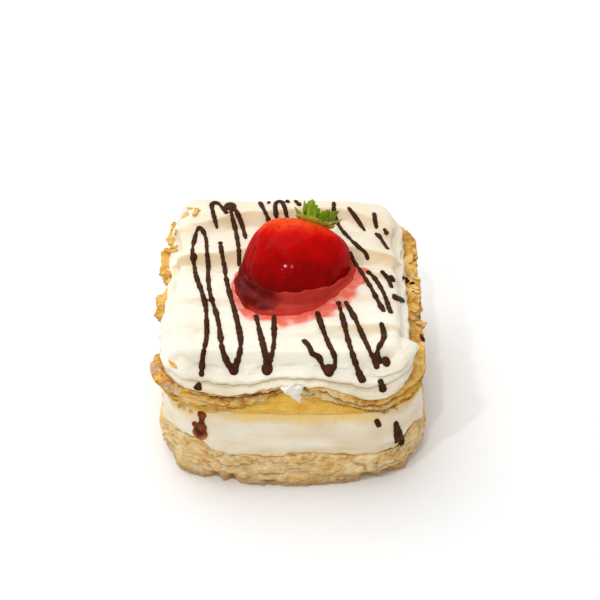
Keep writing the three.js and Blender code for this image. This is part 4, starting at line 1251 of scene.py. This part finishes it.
def make_flakes(target, material):
    shells = Shells("gap", "toast", "soak")
    draw = np.random.default_rng(7)
    for count, (x0, x1), (y0, y1), (small, large) in FLAKE_FIELDS:
        for _ in range(count):
            path, normals = poured_on(target, [(draw.uniform(x0, x1), draw.uniform(y0, y1))])
            if len(path) == 0 or path[0][2] < LOWEST_FLAKE:
                continue
            seed = int(draw.integers(1000))
            size = draw.uniform(small, large) / FLAKE_SPAN
            spin, long = 2 * np.pi * phase(seed, 1), 0.45 + 0.4 * phase(seed, 2)
            flake = loose_flake(path[0], normals[0], size, spin, long, seed)
            shells.add(*flake, gap=0, toast=0.25 + 0.5 * phase(seed, 6), soak=0)
    path, normals = poured_on(target, [FLECK["at"]])
    flake = loose_flake(path[0], normals[0], FLECK["size"], FLECK["spin"], FLECK["long"], FLECK["seed"])
    shells.add(*flake, gap=0, toast=0.5, soak=0.6)
    shells.piece("loose_flakes", slot="pastry_golden", material=material)


# ------------------------------------------------------------------ strawberry, glaze and leaves

BERRY = {
    "centre": np.array([1.4, 5.6, CREAM_TOP - 0.7]), "length": 41.4, "radius": 19.0, "squash": 0.914,
    "yaw": math.radians(24), "pitch": math.radians(38), "sunk": 2.5,
}
BERRY_PROFILE = [
    (0, 0), (0.015, 0.30), (0.07, 0.58), (0.16, 0.79), (0.28, 0.92), (0.42, 0.985), (0.58, 1), (0.72, 0.97),
    (0.84, 0.88), (0.92, 0.74), (0.965, 0.55), (0.985, 0.34), (0.965, 0),
]
LIT_SIDE = (0, 0.64, 0.77)  # painted light: the berry is paler towards its upper back, where the key lamp falls
SHOULDER_AT = math.radians(-84)  # the berry's fuller side, as a turn about its axis
BERRY_ROWS = 150
BERRY_COLUMNS = 168
SEED_COUNT = 260
GOLDEN_ANGLE = math.radians(137.508)
PIT_RADIUS = 0.8
PIT_DEPTH = 0.14
SEED_RADII = (0.26, 0.38, 0.16)
# How ripe and how lit the skin looks: its own paler colour towards the crown, and painted light towards the
# lit upper side, by how far it lies both ways.
RIPENESS_AND_LIGHT = [(-20, 0.1), (-10, 0.26), (2, 0.42), (12, 0.58), (15, 0.76), (18, 0.97)]

GLAZE_CENTRE = np.array([2.5, 3])
# How far the glaze reaches from there, by direction in degrees from +X.
GLAZE_REACH = [
    (0, 21.5), (30, 23), (60, 24), (90, 24.5), (120, 23), (150, 22), (185, 24.4), (213, 26.8),
    (241, 24.8), (270, 21.8), (292, 19.0), (317, 17.4), (344, 18.8), (360, 21.5),
]
# How far it bleeds into the cream past its edge, by direction.
BLEED = [
    (-180, 2), (-150, 5), (-120, 11), (-90, 14), (-60, 13), (-30, 11), (0, 10), (30, 5), (60, 1.5), (180, 2),
]


def glaze_reach(degrees):
    turns = np.asarray(degrees) + np.arange(-16, 17, 4)[:, None]
    return straight_along(GLAZE_REACH, np.mod(turns, 360)).mean(0)


def pink_at(x, y):
    """How far the glaze has bled into the cream round it, from 0 to 1."""
    dx, dy = x - GLAZE_CENTRE[0], y - GLAZE_CENTRE[1]
    degrees = np.degrees(np.arctan2(dy, dx))
    past = np.hypot(dx, dy) - glaze_reach(degrees)
    uneven = 1 + 0.4 * noise(x / 4, y / 4, 0, 61)
    share = past / (eased_along(BLEED, degrees) * uneven)
    return 0.85 * smooth(0.54, 0.34, share) + 0.24 * smooth(1, 0.1, share)


def berry_place(local):
    """Carries points from the berry's own axis, +Y to the crown, to where the berry lies."""
    x, y, z = local.T
    y, z = rotated(y, z, BERRY["pitch"])
    x, y = rotated(x, y, -BERRY["yaw"])
    return np.column_stack([x, y, z * BERRY["squash"]]) + BERRY["centre"]


def berry_surface(along, turn):
    """Points of the berry's skin by their share of its profile and their turn about its axis."""
    profile = spline(BERRY_PROFILE, 0.01)
    run = np.linspace(0, 1, len(profile))
    share = np.interp(along, run, profile[:, 1])
    length = np.interp(along, run, profile[:, 0]) - 0.5
    lobes = 1 + 0.012 * np.cos(3 * turn + 0.6) + 0.008 * np.cos(5 * turn + 2)
    shoulder = 0.14 * np.exp(-(((np.mod(turn - SHOULDER_AT + np.pi, 2 * np.pi) - np.pi) / 0.6) ** 2))
    radius = share * BERRY["radius"] * (lobes + shoulder)
    return np.column_stack([radius * np.sin(turn), length * BERRY["length"], radius * np.cos(turn)])


def seed_spots():
    """Seeds spread evenly over the skin by the golden angle, denser towards the tip."""
    i = np.arange(SEED_COUNT) + 0.5
    along = 0.04 + 0.76 * (i / SEED_COUNT) ** 0.85
    turn = i * GOLDEN_ANGLE + 0.12 * np.sin(i * 1.7)
    return along, turn


def make_strawberry():
    rows = np.linspace(0.006, 0.994, BERRY_ROWS)
    columns = np.linspace(0, 2 * np.pi, BERRY_COLUMNS, endpoint=False)
    along, turn = np.meshgrid(rows, columns, indexing="ij")
    local = berry_surface(along.ravel(), -turn.ravel())
    seeds = berry_surface(*seed_spots())
    pit = np.zeros(len(local))
    for spot in seeds:
        near = np.linalg.norm(local - spot, axis=1) / PIT_RADIUS
        pit = np.maximum(pit, np.clip(1 - near**2, 0, 1))
    swell = grain(*local.T, (0.25, 7, 7, 71), (0.1, 2.5, 2.5, 72))
    points = berry_place(local + unit(local) * (swell - PIT_DEPTH * pit)[:, None])
    floor = CREAM_TOP - BERRY["sunk"] + 0.1
    points[:, 2] = np.maximum(points[:, 2], floor)
    # Painted light: paler towards the upper back, where the key lamp falls, and towards the crown.
    lit_share = 0.25 * local[:, 1] + 0.75 * (points - BERRY["centre"]) @ np.array(LIT_SIDE)
    ripe_and_lit = straight_along(RIPENESS_AND_LIGHT, lit_share)
    # Painted shade: darker low down, where the berry sits in the cream and glaze. The grain adds random
    # tone.
    ripe_and_lit = ripe_and_lit - 0.18 * smooth(64, 57, points[:, 2]) + grain(*local.T, (0.07, 6, 6, 73))
    points, faces = closed_sleeve(list(points.reshape(BERRY_ROWS, BERRY_COLUMNS, 3)))
    values = {"ripe_and_lit": np.append(ripe_and_lit, [ripe_and_lit[0], ripe_and_lit[-1]]), "pit": np.append(0.35 * pit, [0, 0])}
    skin = berry_material()
    flesh = make_piece("strawberry_flesh", points, faces, values, "strawberry", skin, ["strawberry"])
    make_seeds(seeds)
    return flesh


def make_seeds(spots):
    shells = Shells()
    for spot in spots:
        away = spot / np.linalg.norm(spot)
        sunk = spot - away * (PIT_DEPTH + 0.02)
        middle, outside = berry_place(np.array([sunk, sunk + away]))
        if middle[2] >= CREAM_TOP + 1:
            shells.add(*drop_shell(middle, outside - middle, SEED_RADII, turns=10, rings=6))
    shells.piece("strawberry_seeds", slot="strawberry", material=seed_material())


# How far the glaze swells up from the cream, and how high it climbs the berry, by direction.
GLAZE_RISE = [
    (-180, 3.8), (-150, 4.2), (-120, 4.2), (-90, 3.8), (-60, 3.6), (-30, 3), (0, 2.4), (60, 1.6), (120, 1.6),
    (150, 2.6), (180, 3.8),
]
COAT_THICK = 0.9
COAT_TOP = [
    (-180, 59.5), (-150, 61), (-120, 62), (-90, 62.2), (-60, 61.8), (-30, 60.4), (0, 58.5), (30, 56),
    (150, 56), (180, 59.5),
]


def coat_height(berry, spot, degrees):
    """The level of the glaze that clings to the berry, or very low where there is none."""
    away = spot - BERRY["centre"][:2]
    inward = spot - COAT_THICK * away / np.linalg.norm(away, axis=1, keepdims=True)
    limit = eased_along(COAT_TOP, degrees) + 0.5 * noise(degrees / 9, 0, 0, 82)
    level = np.full(len(spot), -100.0)
    for i, (x, y) in enumerate(inward):
        hit = berry.ray_cast(Vector((x, y, 100)), Vector((0, 0, -1)))[0]
        if hit is not None:
            level[i] = min(hit.z, limit[i])
    return level


def berry_reach(flesh, degrees):
    """How far the berry stands out from the glaze's centre, seen from above."""
    points = np.array([vertex.co for vertex in flesh.data.vertices]) / MM
    away = points[:, :2] - MIDDLE - GLAZE_CENTRE
    sector = np.degrees(np.arctan2(away[:, 1], away[:, 0]))
    far = np.hypot(*away.T)
    return np.array([far[np.abs(np.mod(sector - at + 180, 360) - 180) < 3].max() for at in degrees])


def make_glaze(flesh):
    berry = surface_of(flesh)
    degrees = np.linspace(-180, 180, 220, endpoint=False)
    overhung = np.abs(degrees + 70) < 100
    covering = np.where(overhung, berry_reach(flesh, degrees) + COAT_THICK + 0.3, 0)
    reach = np.maximum(glaze_reach(degrees), softened(covering[:, None], 4)[:, 0])
    reach = reach + 0.5 * wobble((degrees + 180) / 360, 81, [5, 8, 13, 21])
    rise = eased_along(GLAZE_RISE, degrees)
    way = np.column_stack([np.cos(np.radians(degrees)), np.sin(np.radians(degrees))])

    def ring(share, side):
        spot = GLAZE_CENTRE + way * (reach * share)[:, None]
        ground = np.minimum(cream_height(*spot.T), CREAM_TOP + 0.5)
        if side < 0:
            return np.column_stack([spot, ground - 1.2 * (1 - share**8)])
        inner = np.clip((share - 0.4) / 0.6, 0, 1)
        swell = rise * np.sqrt(np.clip(1 - inner**2.4, 0, 1))
        level = mix(CREAM_TOP - 1.6, ground, smooth(0.75, 1, share))
        return np.column_stack([spot, np.maximum(level + swell, coat_height(berry, spot, degrees))])

    shares = np.concatenate([np.linspace(0.1, 0.6, 6), np.linspace(0.64, 1, 40)])
    points, faces = two_sided(ring, shares)
    edge = np.append(np.repeat([*shares, *shares[::-1]], len(degrees)), [0, 0])
    sector = np.append(np.tile(degrees, 2 * len(shares)), [0, 0])
    on_left = smooth(-0.5, -0.85, np.cos(np.radians(sector)))
    thin = smooth(0.94, 1.0, edge) * (0.55 - 0.4 * on_left)
    thin = thin + 0.4 * smooth(-50, 0, sector) * smooth(120, 60, sector)
    thin = thin + 0.42 * smooth(-130, -100, sector) * smooth(0, -30, sector)
    make_piece("glaze", points, faces, {"thin": thin}, "glaze", glaze_material(), ["glaze_pool"])


# Sepals: turn about the berry's axis from upright, length, width, lean away from the berry, yellow.
SEPALS = [
    (-80, 8.6, 7.4, 60, 0), (-26, 8.8, 7.2, 69, 0), (12, 6.2, 3.2, 68, -0.3), (64, 7.2, 6.6, 66, 0),
    (92, 9.0, 7.2, 53, 0), (-100, 9, 4.6, 30, 0.3), (126, 9, 5.2, 36, 0.3), (160, 9, 5, 20, 0),
    (-160, 9, 5, 20, 0), (-130, 9, 5, 24, 0),
    (-80, 4.4, 5.6, 6, 1), (-46, 4.0, 5.6, 4, 1), (-12, 3.6, 5.6, 2, 1), (24, 3.8, 5.6, 2, 1),
    (58, 4.2, 5.6, 4, 1), (90, 4.4, 5.6, 6, 1),
]
SEPAL_ROOT = 3.6  # how far from the berry's axis the sepals start
SEPAL_THICK = 0.4
NOTCH_ANGLES = [-84, -44, 44, 84]  # round a sepal's rim from its tip
HUB_RADII = (7.0, 6.4, 1.5)  # of the disc under the leaves
HUB_SUNK = 0.8


def sepal(length, width, seed, turns=72, rings=9):
    """A thin lobed leaf from the origin along +Y, with its edges folded up."""
    turn = np.linspace(-np.pi, np.pi, turns, endpoint=False)
    outline = np.ones(turns)
    for k, degrees in enumerate(NOTCH_ANGLES):
        at = math.radians(degrees + 12 * (phase(seed, k) - 0.5))
        outline -= (0.11 + 0.08 * phase(seed, k + 9)) * np.exp(-np.abs(turn - at) / 0.11)
    outline = outline + 0.03 * np.sin(13 * turn + seed)
    pointed = 1 + 0.08 * np.exp(-((turn / 0.3) ** 2))
    narrow = 0.75 + 0.25 * smooth(-1, 0.1, np.cos(turn))
    rim_x = width / 2 * np.sin(turn) * outline * narrow
    rim_y = length / 2 * np.cos(turn) * outline * pointed

    def ring(share, side):
        x = rim_x * share
        y = rim_y * share + length / 2
        t = y / length
        across = x / (width / 2)
        fold = 0.16 * width * np.abs(across) ** 1.3 + 0.3 * np.sin(5 * t + seed) * across
        ripple = 0.2 * np.sin(t * 15 + seed * 2.1) * np.abs(across)
        ripple = ripple + 0.25 * np.sin(4 * turn + seed) * share**3
        thick = SEPAL_THICK / 2 * (1 - 0.75 * share**2)
        sway = 0.6 * np.sin(2.2 * t + seed) * t
        return np.column_stack([x + sway, y, fold + ripple + 1.6 * t**2 + side * thick])

    points, faces = two_sided(ring, np.linspace(0.1, 1, rings))
    x, y = points[:, 0], points[:, 1]
    side_veins = np.cos(y / length * 30 - np.abs(x) * 1.6) ** 8 * 0.3
    vein = np.exp(-((x / 0.3) ** 2)) * 0.35 + 0.6 * side_veins + 1.1 * smooth(0.45, 0.0, y / length) + 0.25
    return points, faces, vein


def make_calyx():
    yaw, pitch = BERRY["yaw"], BERRY["pitch"]
    axis = np.array([math.sin(yaw) * math.cos(pitch), math.cos(yaw) * math.cos(pitch), math.sin(pitch)])
    up = np.array([0, 0, 1]) - axis * axis[2]
    up /= np.linalg.norm(up)
    right = np.cross(up, axis)
    crown = axis * BERRY["length"] * 0.48
    crown[2] *= BERRY["squash"]
    crown = crown + BERRY["centre"]
    facing = np.column_stack([right, up, axis])
    shells = Shells("vein")
    for seed, (turn, length, width, lean, yellow) in enumerate(SEPALS):
        points, faces, vein = sepal(length, width, seed)
        a, b = math.radians(turn), math.radians(lean)
        tilt = np.array([[1, 0, 0], [0, math.cos(b), -math.sin(b)], [0, math.sin(b), math.cos(b)]])
        spin = np.array([[math.cos(a), -math.sin(a), 0], [math.sin(a), math.cos(a), 0], [0, 0, 1]])
        root = spin @ np.array([0, SEPAL_ROOT, 0])
        placed = (points @ (spin @ tilt).T + root) @ facing.T + crown
        shells.add(placed, faces, vein=np.clip(vein + 0.6 * yellow, 0, 1))
    shells.add(*drop_shell(crown - axis * HUB_SUNK, axis, HUB_RADII), vein=0.95)
    shells.piece("strawberry_leaves", slot="leaf", material=leaf_material(), nodes=["calyx"])


# ------------------------------------------------------------------ the whole slice


def make_camera():
    """Looks down from the front as the photo does."""
    target = Vector((2.9, 2, 45))
    distance = 725
    sensor = 36
    elevation = math.radians(40)
    data = bpy.data.cameras.new("camera")
    data.sensor_width = sensor
    data.lens = sensor * 1885 / 600  # the photo's focal length is 1885 pixels, and its width 600
    camera = linked("camera", data)
    camera.location = (target + Vector((0, -math.cos(elevation), math.sin(elevation))) * distance) * MM
    camera.rotation_euler = (math.pi / 2 - elevation, 0, 0)
    bpy.context.scene.camera = camera


def area_light(name, place, size, power, towards=(0, 0, 0.04)):
    data = bpy.data.lights.new(name, "AREA")
    data.shape = "RECTANGLE"
    data.size, data.size_y = size
    data.energy = power
    light = linked(name, data)
    light.location = place
    light.rotation_euler = (Vector(towards) - Vector(place)).to_track_quat("-Z", "Y").to_euler()


def make_studio():
    mesh = bpy.data.meshes.new("floor")
    reach = 3.0
    corners = [(-reach, -reach, 0), (reach, -reach, 0), (reach, reach, 0), (-reach, reach, 0)]
    mesh.from_pydata(corners, [], [[0, 1, 2, 3]])
    mesh.materials.append(floor_material())
    floor = linked("floor", mesh)
    world = bpy.data.worlds.new("studio")
    bpy.context.scene.world = world
    world.use_nodes = True
    world.node_tree.nodes["Background"].inputs["Color"].default_value = (1, 1, 1, 1)
    world.node_tree.nodes["Background"].inputs["Strength"].default_value = 0.56
    area_light("key", (-0.25, 0.38, 0.75), (1.1, 1.1), 5.5)
    area_light("window", (-0.376, -0.445, 0.815), (0.035, 0.075), 1.3, towards=(0, 0, 0.07))
    area_light("second_window", (-0.143, -0.497, 0.869), (0.035, 0.075), 1.3, towards=(0, 0, 0.07))
    bpy.context.scene.view_settings.view_transform = "Standard"


make_camera()
make_studio()
# The tan is the cream's painted shade colour.
ivory_cream = cream_material("cream", ivory=(0.90, 0.855, 0.73), shaded_tan=(0.73, 0.54, 0.29))
chocolate = chocolate_material()
golden_crust = pastry_material(
    "golden_pastry",
    pale=(0.98, 0.74, 0.35),
    golden=(0.88, 0.47, 0.07),
    brown=(0.44, 0.14, 0.010),
    crevice_shade=(0.20, 0.045, 0.003),
    streak_depth=0.5,
    crumb_depth=1.1,
)
bottom_sheet = make_bottom_sheet()
filling = make_filling(ivory_cream)
top_sheet = make_top_sheet(golden_crust)
cream_skin = make_cream_top(ivory_cream)
make_drizzle(cream_skin, chocolate)
outside = surface_of(bottom_sheet, filling, top_sheet, cream_skin)
make_drips(outside, chocolate)
make_sauce(outside)
make_dab(outside, ivory_cream)
make_flakes(outside, golden_crust)
make_glaze(make_strawberry())
make_calyx()
